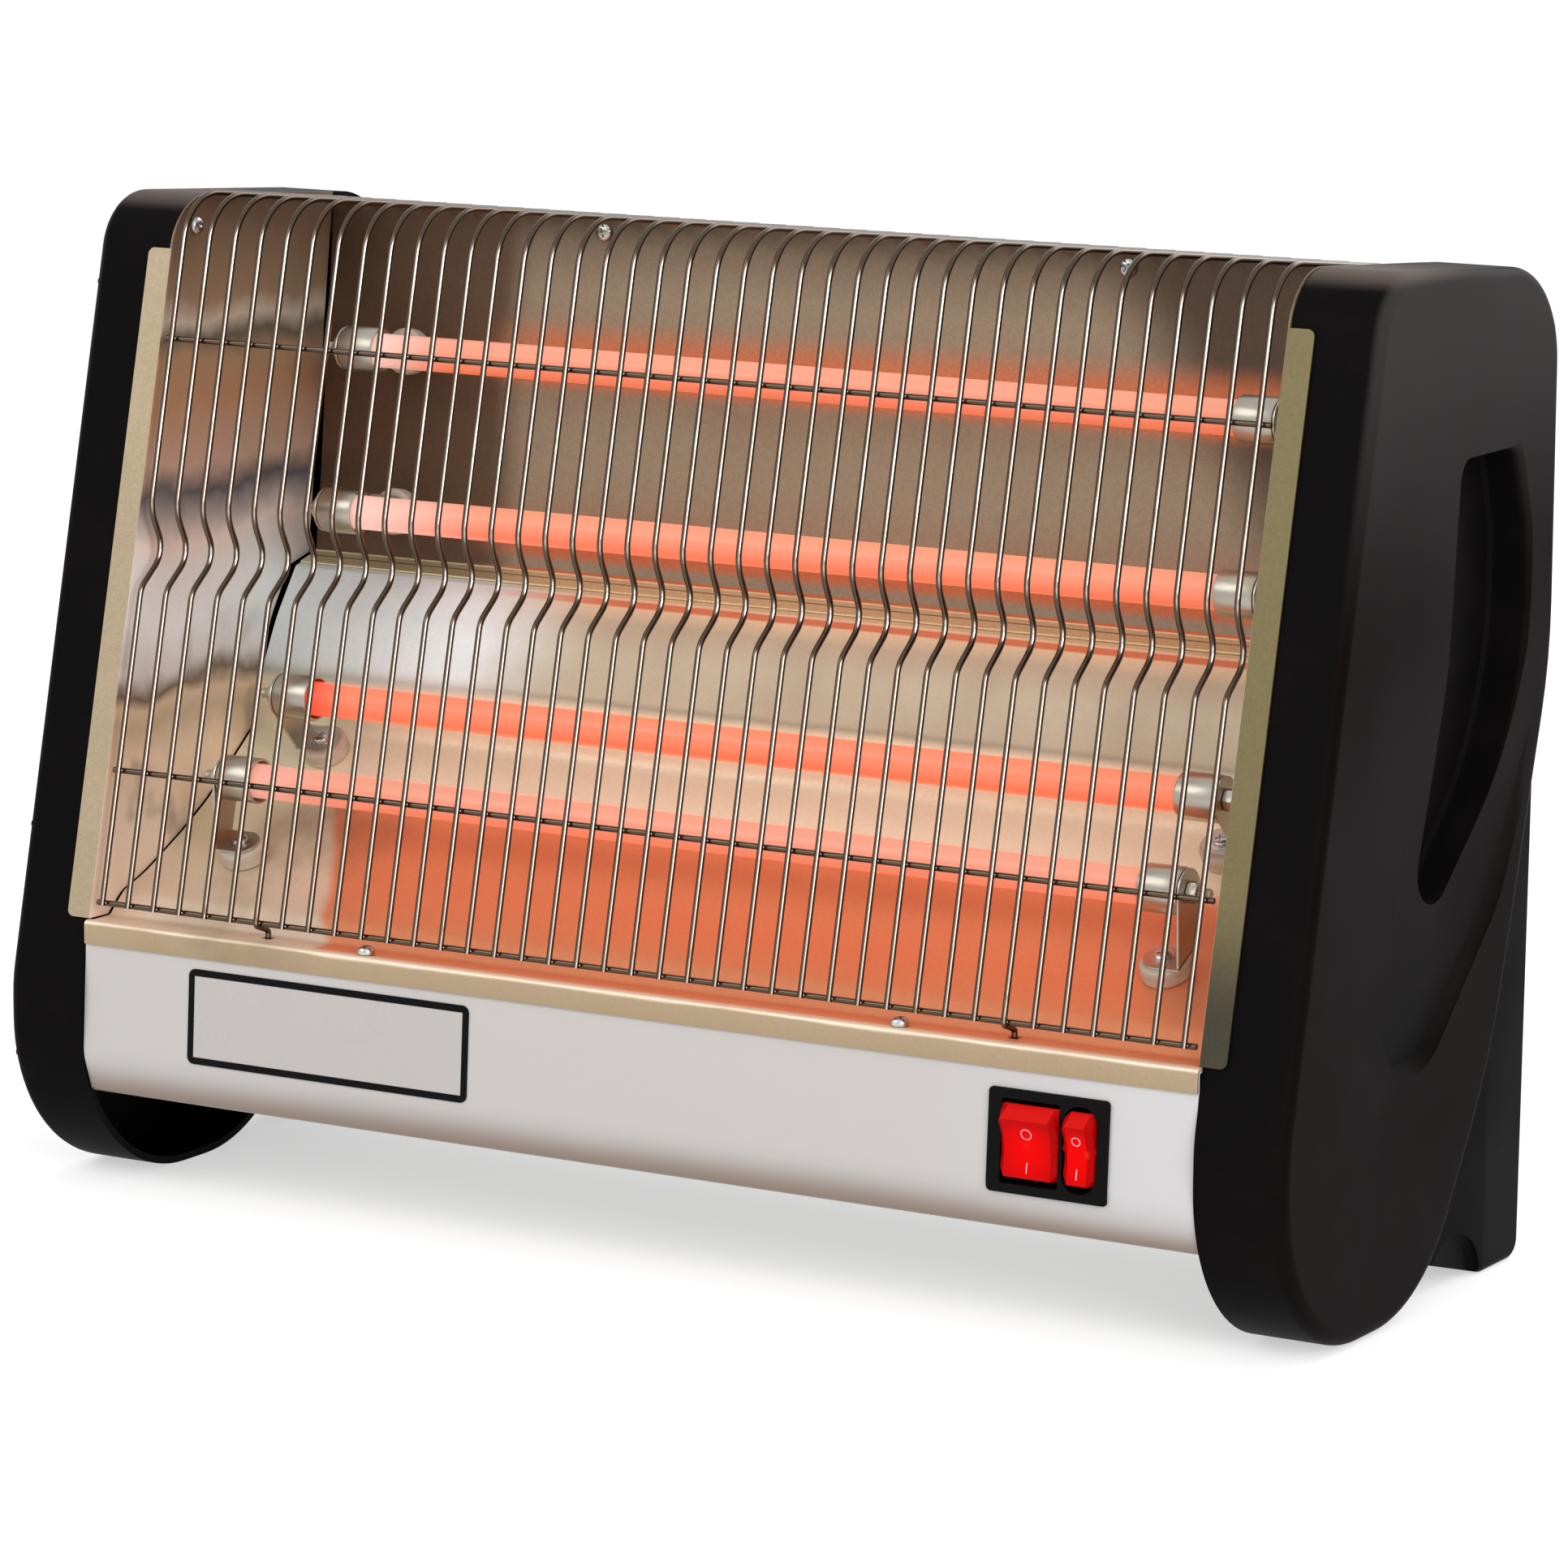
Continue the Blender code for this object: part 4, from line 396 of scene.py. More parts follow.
def makeSpeckle():
    # fine salt-and-pepper grain of rolled zinc with slow cloudy stains
    look = {"coarseScale": 0.3, "shares": (0.65, 0.35), "grain": (0.36, 0.64), "cloud": (0.34, 0.68)}
    tree, desk, given, out = newGroup(
        "zincSpeckle",
        [("Vector", "Vector", None), ("Grain", "Float", 1500.0), ("Cloud", "Float", 14.0)],
        ["Grain", "Cloud", "Height"])
    fine = desk.noise(given["Vector"], given["Grain"], 2.0, 0.7)
    coarse = desk.noise(given["Vector"], desk.times(given["Grain"], look["coarseScale"]), 3.0, 0.6)
    both = desk.plus(desk.times(fine, look["shares"][0]), desk.times(coarse, look["shares"][1]))
    desk.feed(out["Grain"], desk.span(both, *look["grain"]))
    cloud = desk.noise(given["Vector"], given["Cloud"], 5.0, 0.58)
    desk.feed(out["Cloud"], desk.span(cloud, *look["cloud"]))
    desk.feed(out["Height"], both)
    return tree


def makeMoulding():
    # the fine spark-eroded grain of moulded plastic, and a film of dust
    look = {"filmScale": 22.0, "dustAndPaintedLight": (0.45, 0.75), "glossScale": 7.0}
    tree, desk, given, out = newGroup(
        "mouldedGrain",
        [("Vector", "Vector", None), ("Scale", "Float", 1400.0)],
        ["Height", "Dust", "Gloss"])
    desk.feed(out["Height"], desk.noise(given["Vector"], given["Scale"], 2.0, 0.6))
    film = desk.noise(given["Vector"], look["filmScale"], 6.0, 0.62)
    desk.feed(out["Dust"], desk.span(film, *look["dustAndPaintedLight"]))
    desk.feed(out["Gloss"], desk.noise(given["Vector"], look["glossScale"], 4.0, 0.5))
    return tree


speckleGroup = makeSpeckle()
mouldGroup = makeMoulding()


def panelFinish():
    look = {
        "front": (0.0044, 0.0038, 0.0038), "side": (0.0046, 0.0030, 0.0028), "sideFrom": (0.0050, 0.0012),
        "top": (0.042, 0.038, 0.038), "paintedSideLightRise": (0.26, 0.395),
        "dustAndPaintedLight": ((0.15, 0.12, 0.105), 1.0), "paintedTopLightRise": (0.3935, 0.401),
        "film": ((0.030, 0.026, 0.022), 0.10),
        "rough": (0.42, 0.56), "bump": (0.10, 0.0003),
    }
    desk = Finish("panelPlastic", Specular_IOR_Level=0.022)
    coords, x, y, z = desk.place()
    out = desk.group(mouldGroup, Vector=coords)
    # painted light on one black plastic: a warmer outer face growing paler toward the top, and a pale top
    # face as if lit from above; the film is real dust
    side = desk.span(desk.far(x), *(outerX - depth for depth in look["sideFrom"]))
    tone = desk.mix(desk.span(z, *look["paintedSideLightRise"]), look["side"], look["top"])
    shade = desk.mix(side, look["front"], tone)
    shade = desk.tint(shade, look["dustAndPaintedLight"], desk.span(z, *look["paintedTopLightRise"]))
    shade = desk.tint(shade, look["film"], out["Dust"])
    return desk.coat(shade, desk.span(out["Gloss"], *noiseSpan, *look["rough"]),
                     (out["Height"], *look["bump"]))


def grained(desk, grain, shade, darkest):
    return desk.mix(desk.span(grain, 0.0, 1.0, darkest, 1.0), black, shade)


def zincFinish(name, look, extra=None):
    # a metal toned along its height, plus the caller's marks, broken by grain; in the chamber the tone and
    # marks are mostly painted reflection and shade
    desk = Finish(name, Metallic=look["metal"])
    coords, x, y, z = desk.place()
    out = desk.group(speckleGroup, Vector=coords)
    level = z
    if "warp" in look:
        level = desk.plus(z, desk.drift(desk.noise(coords, 16.0, 4.0, 0.6), look["warp"]))
    shade = desk.ramp(desk.span(level, *look["heights"], smooth=False), look["stops"])
    if extra:
        shade = extra(desk, coords, x, y, z, shade, out)
    shade = grained(desk, out["Grain"], shade, look["darkest"])
    return desk.coat(shade, desk.span(out["Cloud"], 0.0, 1.0, *look["rough"]), (out["Height"], 0.03, 0.0002))


def upperSheetFinish():
    look = {
        # the tone by height is a painted reflection, darkening toward the top
        "stops": [(0.0, (0.36, 0.29, 0.205)), (0.35, (0.375, 0.28, 0.185)), (0.8, (0.37, 0.275, 0.185)),
                  (0.93, (0.25, 0.178, 0.115)), (1.0, (0.11, 0.068, 0.042))],
        "heights": (0.245, 0.39), "darkest": 0.84, "rough": (0.34, 0.46), "metal": 0.70,
        "drift": 0.03, "driftScale": 9.0,
        "left": ((0.115, 0.062, 0.034), 0.90), "leftEdge": (-0.147, -0.167),
        "right": ((0.085, 0.052, 0.032), 0.94), "rightEdge": (0.160, 0.208), "rightLean": (0.30, 0.75),
        "reach": ((-0.175, -0.135), (0.215, 0.19)),
        "glow": ((0.70, 0.22, 0.095), 0.85), "glowBand": ((0.352, 0.337), (0.318, 0.324)),
        "under": ((0.66, 0.17, 0.06), 0.85), "underBand": ((0.2492, 0.2535), (0.270, 0.262)),
        "ledge": ((1.0, 0.92, 0.59), 1.0), "ledgeEdge": (0.2458, 0.2454),
        "line": ((0.30, 0.17, 0.08), 0.85), "lineDepth": 0.1540, "lineEdge": (0.0007, 0.0003),
        "paintedGlowOnBend": ((0.66, 0.17, 0.06), 0.9), "paintedGlowOnBendBand": ((0.2452, 0.2456), (0.2470, 0.2464)),
    }

    def sides(desk, coords, x, y, z, shade, out):
        # brown beyond the first and last clips, painted shade, and the tube's light painted just above the
        # highest one and around the second
        along = desk.plus(x, desk.drift(desk.noise(coords, look["driftScale"]), look["drift"]))
        leanFrom, leanShare = look["rightLean"]
        lean = desk.times(desk.minus(z, leanFrom), leanShare)
        shade = desk.tint(shade, look["left"], desk.span(along, *look["leftEdge"]))
        shade = desk.tint(shade, look["right"], desk.span(desk.plus(along, lean), *look["rightEdge"]))
        reach = desk.band(x, *look["reach"])
        shade = desk.tint(shade, look["glow"], desk.band(z, *look["glowBand"]), reach)
        shade = desk.tint(shade, look["under"], desk.band(z, *look["underBand"]), reach)
        # the folded ledge: two cream strips, painted light where it lies in shade, parted by a brown line;
        # behind them an orange one, the tubes' glow painted on the bend
        shade = desk.tint(shade, look["ledge"], desk.span(z, *look["ledgeEdge"]))
        offLine = desk.far(desk.minus(y, lipY), look["lineDepth"])
        shade = desk.tint(shade, look["line"], desk.span(offLine, *look["lineEdge"]))
        return desk.tint(shade, look["paintedGlowOnBend"], desk.band(z, *look["paintedGlowOnBendBand"]), reach)

    return zincFinish("upperSheet", look, sides)


def lowerSheetFinish():
    look = {
        # the tone by height is mostly painted reflection and shade: a dark painted line just above the third
        # tube, and the ledge at the top painted pale as lit
        "stops": [(0.0, (0.44, 0.32, 0.195)), (0.061, (0.49, 0.36, 0.225)), (0.067, (0.94, 0.76, 0.58)),
                  (0.10, (0.90, 0.70, 0.54)), (0.26, (0.94, 0.82, 0.60)), (0.50, (1.0, 0.96, 0.73)),
                  (0.66, (0.96, 0.88, 0.64)), (0.685, (0.40, 0.35, 0.25)), (0.70, (0.52, 0.45, 0.315)),
                  (0.90, (0.53, 0.455, 0.32)), (0.95, (0.90, 0.72, 0.47)), (1.0, (0.94, 0.74, 0.47))],
        "heights": (0.103, 0.245), "darkest": 0.93, "rough": (0.42, 0.52), "metal": 0.34, "warp": 0.003,
        "drift": 0.02,
        "cool": ((0.84, 0.90, 0.90), 1.0), "coolEdge": (-0.10, -0.17), "coolRise": (0.195, 0.206),
        "glow": ((0.92, 0.285, 0.115), 0.94), "glowEdge": (-0.1470, -0.1400), "glowLean": (0.1134, 1.20),
        "glowTop": (0.161, 0.153), "glowDepth": (0.0022, 0.006),
        "mottle": ((0.22, 0.15, 0.085), 0.8), "mottleX": -0.185, "mottleReach": (0.05, 0.0),
        "line": ((0.22, 0.12, 0.05), 0.75), "lineDepth": 0.1520, "lineEdge": (0.0010, 0.0003),
        "lineRise": (0.2395, 0.2402),
        "rim": ((0.74, 0.16, 0.05), 0.85), "rimReach": (-0.17, -0.08), "rimDepth": (0.1572, 0.1580),
        "rimBand": ((0.2366, 0.2374), (0.2397, 0.2391)),
    }

    def paintedLightAndMarks(desk, coords, x, y, z, shade, out):
        # a painted bluish reflection at the top left; the floor under the lowest tube takes its painted glow,
        # right of the clip's painted shadow
        depth = desk.minus(y, lipY)
        drifted = desk.plus(x, desk.drift(out["Cloud"], look["drift"]))
        shade = desk.tint(shade, look["cool"], desk.span(drifted, *look["coolEdge"]),
                          desk.span(z, *look["coolRise"]))
        leanFrom, leanShare = look["glowLean"]
        along = desk.plus(x, desk.times(desk.minus(z, leanFrom), leanShare))
        low = desk.span(z, *look["glowTop"])
        shade = desk.tint(shade, look["glow"], desk.span(along, *look["glowEdge"]), low,
                          desk.span(depth, *look["glowDepth"]))
        near = desk.span(desk.far(x, look["mottleX"]), *look["mottleReach"])
        shade = desk.tint(shade, look["mottle"], near, low, out["Cloud"])
        # the ledge: a brown line along its middle and a warm rim along each edge, the tubes' glow painted on
        # the bends
        middle = desk.span(desk.far(depth, look["lineDepth"]), *look["lineEdge"])
        shade = desk.tint(shade, look["line"], middle, desk.span(z, *look["lineRise"]))
        edges = desk.most(desk.band(z, *look["rimBand"]), desk.span(depth, *look["rimDepth"]))
        return desk.tint(shade, look["rim"], edges, desk.span(x, *look["rimReach"]))

    return zincFinish("lowerSheet", look, paintedLightAndMarks)


def cheekFinish():
    look = {
        # the bands up the cheek are painted reflections: bright, bluish, cream and dark streaks of a
        # mirror-like sheet
        "stops": [(0.0, (0.98, 0.76, 0.62)), (0.12, (1.0, 0.82, 0.68)), (0.20, (0.98, 0.78, 0.58)),
                  (0.255, (0.66, 0.54, 0.38)), (0.285, (0.80, 0.64, 0.46)), (0.305, (0.20, 0.15, 0.10)),
                  (0.335, (0.80, 0.80, 0.78)), (0.40, (0.94, 1.0, 1.0)), (0.47, (0.92, 0.92, 0.90)),
                  (0.51, (1.0, 0.86, 0.76)), (0.545, (0.46, 0.42, 0.40)), (0.575, (0.13, 0.13, 0.14)),
                  (0.61, (0.66, 0.46, 0.35)), (0.70, (0.56, 0.32, 0.18)), (0.745, (0.50, 0.32, 0.19)),
                  (0.775, (0.16, 0.14, 0.10)), (0.80, (0.66, 0.56, 0.44)), (0.835, (0.36, 0.24, 0.15)),
                  (1.0, (0.10, 0.052, 0.026))],
        "heights": (0.113, 0.405), "darkest": 0.94, "rough": (0.30, 0.40), "metal": 0.08, "warp": 0.034,
        "paintedDarkReflection": ((0.10, 0.075, 0.05), 0.6), "paintedDarkReflectionBand": ((0.235, 0.20), (0.125, 0.15)),
        "paintedDarkReflectionScale": 24.0, "paintedDarkReflectionEdge": (0.52, 0.66),
    }

    def paintedDarkReflections(desk, coords, x, y, z, shade, out):
        # dark blots low on the cheek, a painted reflection
        blot = desk.span(desk.noise(coords, look["paintedDarkReflectionScale"]), *look["paintedDarkReflectionEdge"])
        return desk.tint(shade, look["paintedDarkReflection"], blot, desk.band(z, *look["paintedDarkReflectionBand"]))

    return zincFinish("cheekSteel", look, paintedDarkReflections)


def flangeFinish():
    look = {
        "left": (0.47, 0.365, 0.24), "right": (0.195, 0.155, 0.070), "middle": (-0.05, 0.05),
        "lowRightDarkening": ((0.030, 0.028, 0.020), 0.85), "lowRightDarkeningTop": (0.180, 0.130), "lowRightDarkeningSide": (0.0, 0.1),
        "lowRightDarkeningCloud": (0.0, 0.4, 0.5, 1.0),
        "darkest": 0.86, "rough": (0.32, 0.46), "bump": (0.08, 0.0002),
    }
    desk = Finish("flangeSteel", Metallic=0.6)
    coords, x, y, z = desk.place()
    out = desk.group(speckleGroup, Vector=coords)
    # painted light: the left flange is painted lighter than the right; low on the right it turns darker in
    # cloud-broken patches
    shade = desk.mix(desk.span(x, *look["middle"]), look["left"], look["right"])
    shade = desk.tint(shade, look["lowRightDarkening"], desk.span(z, *look["lowRightDarkeningTop"]), desk.span(x, *look["lowRightDarkeningSide"]),
                      desk.span(out["Cloud"], *look["lowRightDarkeningCloud"]))
    shade = grained(desk, out["Grain"], shade, look["darkest"])
    return desk.coat(shade, desk.span(out["Cloud"], 0.0, 1.0, *look["rough"]), (out["Height"], *look["bump"]))


def wireFinish():
    # painted highlight and shade: a light line down the middle of each wire between brown sides, whitest
    # where it bends
    look = {
        "bright": (0.90, 0.87, 0.82), "line": (0.52, 0.44, 0.37), "side": (0.095, 0.068, 0.048),
        "drift": 0.012, "topBend": (0.360, 0.374),
        "kink": ((0.272, 0.264), (0.243, 0.252)), "kinkShare": 0.75,
        "glintStreak": ((0.292, 0.306), (0.336, 0.318)), "glintStreakPatch": (0.40, 0.62),
        "sideEdge": (0.003, 0.075),
        "rust": ((0.16, 0.07, 0.02), 0.6), "rustSpot": (0.62, 0.72), "rustTop": (0.16, 0.12),
        "rough": (0.10, 0.18),
    }
    desk = Finish("chromedWire", Metallic=1.0)
    coords, x, y, z = desk.place()
    broken = desk.noise(coords, 260.0, 2.0)
    level = desk.plus(z, desk.drift(broken, look["drift"]))
    kink = desk.times(desk.band(level, *look["kink"]), look["kinkShare"])
    patches = desk.span(desk.noise(coords, 120.0, 2.0), *look["glintStreakPatch"])
    glintStreak = desk.times(desk.band(level, *look["glintStreak"]), patches)
    lit = desk.most(desk.span(level, *look["topBend"]), kink, glintStreak)
    facing = desk.add("ShaderNodeLayerWeight", Blend=0.5).outputs["Facing"]
    line = desk.mix(lit, look["line"], look["bright"])
    shade = desk.mix(desk.span(facing, *look["sideEdge"]), line, look["side"])
    spots = desk.span(desk.noise(coords, 90.0), *look["rustSpot"])
    shade = desk.tint(shade, look["rust"], spots, desk.span(z, *look["rustTop"]))
    return desk.coat(shade, desk.span(broken, *noiseSpan, *look["rough"]))


def coilTurns(desk, x):
    return desk.math("SINE", desk.times(x, math.tau / coilPitch))


def tubeFinish(name, centre, row):
    # milky quartz, lit from inside: pale along its top, a painted highlight, and redder below, with faint
    # turns of the coil
    look = {"leftX": -0.205, "half": 0.0065, "turnPatch": (0.45, 0.65, 0.0, 0.10), "turnFade": (0.8, 0.1),
            "rough": (0.20, 0.30)}
    desk = Finish(name, Emission_Strength=1.0, Specular_IOR_Level=0.35, Coat_Roughness=0.1)
    coords, x, y, z = desk.place()
    fromLeft = desk.span(x, look["leftX"], look["leftX"] + row["leftReach"])
    height = desk.span(z, centre - look["half"], centre + look["half"])
    cloud = desk.noise(coords, 40.0)
    shown = desk.times(desk.span(cloud, *look["turnPatch"]), desk.span(height, *look["turnFade"]))
    light = desk.mix(fromLeft, row["left"], desk.mix(height, row["low"], row["high"]))
    strength = desk.plus(1.0, desk.times(coilTurns(desk, x), shown))
    glow = desk.add("ShaderNodeVectorMath", {"operation": "SCALE"}, (light,), Scale=strength)
    desk.feed(desk.inputs["Emission Color"], glow.outputs[0])
    body = desk.mix(fromLeft, row["leftBody"], row["body"])
    return desk.coat(body, desk.span(cloud, *noiseSpan, *look["rough"]))


def coilFinish():
    look = {"wire": ((0.35, 0.08, 0.03), (0.85, 0.28, 0.10)), "glow": ((0.5, 0.08, 0.02), (1.0, 0.30, 0.10)),
            "rough": (0.3, 0.5)}
    desk = Finish("coilWire", Metallic=0.8, Emission_Strength=1.5)
    turns = desk.span(coilTurns(desk, desk.place()[1]), -1.0, 1.0)
    desk.feed(desk.inputs["Emission Color"], desk.mix(turns, *look["glow"]))
    return desk.coat(desk.mix(turns, *look["wire"]), desk.span(turns, 0.0, 1.0, *look["rough"]))


def ceramicFinish():
    look = {"clay": (0.62, 0.55, 0.45), "soil": ((0.42, 0.34, 0.26), 0.5), "soilCloud": (0.45, 0.75),
            "rough": (0.42, 0.58), "bump": (0.15, 0.0002)}
    desk = Finish("steatite")
    coords = desk.coords()
    cloud = desk.span(desk.noise(coords, 60.0, 5.0, 0.65), *look["soilCloud"])
    grain = desk.noise(coords, 1800.0, 2.0)
    return desk.coat(desk.tint(look["clay"], look["soil"], cloud),
                     desk.span(grain, *noiseSpan, *look["rough"]), (grain, *look["bump"]))


def zincPlateFinish(name, tone, shadow, rough):
    # plated clips, nuts and screws: blue-grey with straw-yellow passivation
    look = {"cloud": (0.25, 0.75), "straw": ((0.50, 0.42, 0.26), 0.40), "strawPatch": (0.50, 0.70)}
    desk = Finish(name, Metallic=1.0)
    coords = desk.coords()
    cloud = desk.span(desk.noise(coords, 60.0, 1.0, 0.4), *look["cloud"])
    straw = desk.span(desk.noise(coords, 30.0, 1.0), *look["strawPatch"])
    shade = desk.tint(desk.mix(cloud, shadow, tone), look["straw"], straw)
    return desk.coat(shade, desk.span(cloud, 0.0, 1.0, *rough))


def enamelFinish():
    look = {"top": (0.640, 0.605, 0.585), "right": (0.70, 0.685, 0.69), "rightRise": (0.12, 0.24),
            "tan": ((0.27, 0.175, 0.115), 0.85), "tanTop": 0.0575, "tanLow": 0.043, "tanDrift": 0.006,
            "rough": (0.285, 0.295)}
    desk = Finish("fasciaEnamel", Specular_IOR_Level=0.45)
    coords, x, y, z = desk.place()
    edge = desk.plus(look["tanTop"], desk.drift(desk.noise(coords, 12.0, 4.0), look["tanDrift"]))
    low = desk.span(z, edge, look["tanLow"])
    # painted shade with a warm painted reflection where the fascia curves back at the bottom; lighter and
    # cooler toward the right end
    shade = desk.tint(look["top"], look["tan"], low)
    shade = desk.mix(desk.span(x, *look["rightRise"]), shade, desk.mix(low, look["right"], shade))
    peel = desk.noise(coords, 320.0, 2.0)
    return desk.coat(shade, desk.span(peel, *noiseSpan, *look["rough"]))


def darkEnamelFinish():
    look = {"coat": (0.012, 0.012, 0.013), "dustAndPaintedLight": ((0.035, 0.032, 0.030), 0.4), "dustFilm": (0.45, 0.75),
            "rough": (0.38, 0.52), "bump": (0.18, 0.0004)}
    desk = Finish("coverEnamel", Specular_IOR_Level=0.4)
    coords = desk.coords()
    peel = desk.noise(coords, 420.0, 3.0, 0.6)
    film = desk.span(desk.noise(coords, 18.0, 6.0, 0.62), *look["dustFilm"])
    return desk.coat(desk.tint(look["coat"], look["dustAndPaintedLight"], film), desk.span(film, 0.0, 1.0, *look["rough"]),
                     (peel, *look["bump"]))


def blackPlasticFinish(name, rough):
    look = {"black": (0.0030, 0.0026, 0.0028), "dustAndPaintedLight": ((0.0090, 0.0080, 0.0075), 0.3),
            "bump": (0.08, 0.0002)}
    desk = Finish(name, Specular_IOR_Level=0.07)
    out = desk.group(mouldGroup, Vector=desk.coords(), Scale=2200.0)
    return desk.coat(desk.tint(look["black"], look["dustAndPaintedLight"], out["Dust"]),
                     desk.span(out["Gloss"], *noiseSpan, *rough), (out["Height"], *look["bump"]))


def rockerFinish(name, centre, lamp, lampShare):
    # clear red acrylic, brightest over its middle, with painted shade down its sides and lower end, a painted
    # highlight on its upward facets, and the neon lamp as a warm spot
    look = {
        "body": ((0.34, 0.003, 0.003), (0.34, 0.001, 0.001)), "reach": 0.0150, "core": 0.2,
        "glow": ((0.30, 0.0004, 0.0006), (0.62, 0.0004, 0.0006)),
        "upward": ((0.40, 0.006, 0.004), 1.0), "upwardEdge": (0.35, 0.65),
        "ends": ((0.10, 0.0002, 0.0003), 0.85), "sideEdge": (0.25, 0.6), "underEdge": (-0.3, -0.6),
        "lamp": (0.95, 0.10, 0.010), "lampReach": 0.0034,
        "rough": (0.12, 0.2),
    }
    desk = Finish(name, Emission_Strength=1.0, Specular_IOR_Level=0.03)
    coords = desk.coords()

    def near(spot, reach):
        offset = desk.add("ShaderNodeVectorMath", {"operation": "DISTANCE"}, (coords, spot))
        return desk.span(offset.outputs["Value"], reach, reach * look["core"])

    lit = near(centre, look["reach"])
    normal = desk.add("ShaderNodeTexCoord").outputs["Normal"]
    aim = desk.add("ShaderNodeSeparateXYZ", Vector=normal).outputs
    glow = desk.mix(lit, *look["glow"])
    glow = desk.tint(glow, look["upward"], desk.span(aim["Z"], *look["upwardEdge"]))
    ends = desk.most(desk.span(desk.far(aim["X"]), *look["sideEdge"]),
                     desk.span(aim["Z"], *look["underEdge"]))
    glow = desk.tint(glow, look["ends"], ends)
    glow = desk.tint(glow, (look["lamp"], lampShare), near(lamp, look["lampReach"]))
    desk.feed(desk.inputs["Emission Color"], glow)
    cells = desk.noise(coords, 900.0, 1.0)
    return desk.coat(desk.mix(lit, *look["body"]), desk.span(cells, *noiseSpan, *look["rough"]))


def markFinish():
    look = {"paint": ((0.85, 0.42, 0.50), (0.92, 0.66, 0.70)), "worn": (0.4, 0.7), "rough": (0.3, 0.5)}
    desk = Finish("markPaint")
    worn = desk.noise(desk.coords(), 1500.0, 2.0)
    return desk.coat(desk.mix(desk.span(worn, *look["worn"]), *look["paint"]),
                     desk.span(worn, *noiseSpan, *look["rough"]))


def labelFinish():
    look = {"film": ((0.560, 0.525, 0.505), (0.600, 0.565, 0.545)), "rough": (0.26, 0.36)}
    desk = Finish("labelFilm")
    cloud = desk.noise(desk.coords(), 30.0, 4.0)
    return desk.coat(desk.mix(cloud, *look["film"]), desk.span(cloud, *noiseSpan, *look["rough"]))


def sleeveFinish():
    look = {"glass": ((0.50, 0.45, 0.36), (0.72, 0.67, 0.58)), "rough": (0.6, 0.8), "bump": (0.3, 0.0003)}
    desk = Finish("glassSleeve")
    weave = desk.add("ShaderNodeTexWave", {"bands_direction": "DIAGONAL"}, Vector=desk.coords(), Scale=420.0,
                     Distortion=1.5).outputs["Fac"]
    return desk.coat(desk.mix(weave, *look["glass"]), desk.span(weave, 0.0, 1.0, *look["rough"]),
                     (weave, *look["bump"]))


panelPlastic = panelFinish()
upperSheet = upperSheetFinish()
lowerSheet = lowerSheetFinish()
cheekSteel = cheekFinish()
flangeSteel = flangeFinish()
chromedWire = wireFinish()
steatite = ceramicFinish()
clipZinc = zincPlateFinish("clipZinc", (0.52, 0.49, 0.42), (0.46, 0.43, 0.36), (0.30, 0.36))
screwZinc = zincPlateFinish("screwZinc", (0.62, 0.62, 0.62), (0.40, 0.41, 0.43), (0.16, 0.26))
fasciaEnamel = enamelFinish()
coverEnamel = darkEnamelFinish()
platePlastic = blackPlasticFinish("platePlastic", (0.30, 0.42))
innerPlastic = blackPlasticFinish("innerPlastic", (0.5, 0.6))
markPaint = markFinish()
labelFilm = labelFinish()
print("finishes ready")


# Side panels

panel = {
    "outline": [(-0.0028, 0, 0.070), (0.121, 0, 0.072), (0.178, 0.086, 0.200), (0.225, 0.238, 0.150),
                (0.224, 0.3911, 0.040), (0.06960, 0.4018, 0.026), (-0.0028, 0.0857, 0.060)],
    "edge": 0.006,
    "wall": 0.003,
    "beyond": 0.002,  # how far cutters pass through a face
    "leg": [(0.186, 0, 0.004), (0.2185, 0, 0.008), (0.2225, 0.240, 0.030), (0.195, 0.300, 0),
            (0.138, 0.116, 0), (0.115, 0.0197, 0)],
    "legInset": 0.006,
    "legEdge": 0.003,
    "legRoof": 0.009,
    "legTaper": 0.10,
    "legTaperY": 0.101,
    "legTaperHeights": (-0.005, 0.176),
    "scoopY": 0.163,
    "scoopRadius": 0.020,
    "scoopDepth": 0.004,
    "scoopLength": 0.02,
    "scoopFillet": 0.0025,
    "pocket": [(0.0961, 0.1274, 0.015), (0.199, 0.219, 0.116), (0.199, 0.292, 0.030), (0.188, 0.325, 0.008),
               (0.1376, 0.325, 0.009), (0.1301, 0.248, 0.100)],
    "pocketDepth": 0.017,
    "pocketDraft": 0.0012,
    "pocketFillet": 0.004,
    "mouth": 0.0026,
    "sweep": [(0.0760, 0.097, 0.030), (0.1180, 0.095, 0.032), (0.1790, 0.150, 0.060), (0.2150, 0.219, 0.040),
              (0.2180, 0.275, 0), (0.1140, 0.275, 0), (0.0880, 0.169, 0.050), (0.0745, 0.143, 0.030)],
    "sweepDepth": 0.0044,
    "sweepTop": 0.245,
    "sweepSlope": 0.0295,
    "sweepWall": 0.0040,
    "sweepShift": (-0.0030, 0.0006),
    "sweepRims": ((0.18, 0.0003, 0.0002), (0.0, 0.003, -0.0012)),  # share of the depth, lift and inset
    "ribs": (0.053, 0.146, 0.362),
    "ribFrontY": -0.0228,
    "ribBackY": 0.245,
    "ribRise": 0.006,
    "ribThickness": 0.0018,
    "ribSetback": 0.010,
}
leanDeg = 12.9
frontRun = Vector((math.sin(math.radians(leanDeg)), math.cos(math.radians(leanDeg))))
toeY, shinHeight = panel["outline"][-1][:2]


def frontPoint(height, out=0.0):
    along = toeY + (height - shinHeight) * frontRun.x / frontRun.y
    return Vector((along - out * frontRun.y, height + out * frontRun.x))


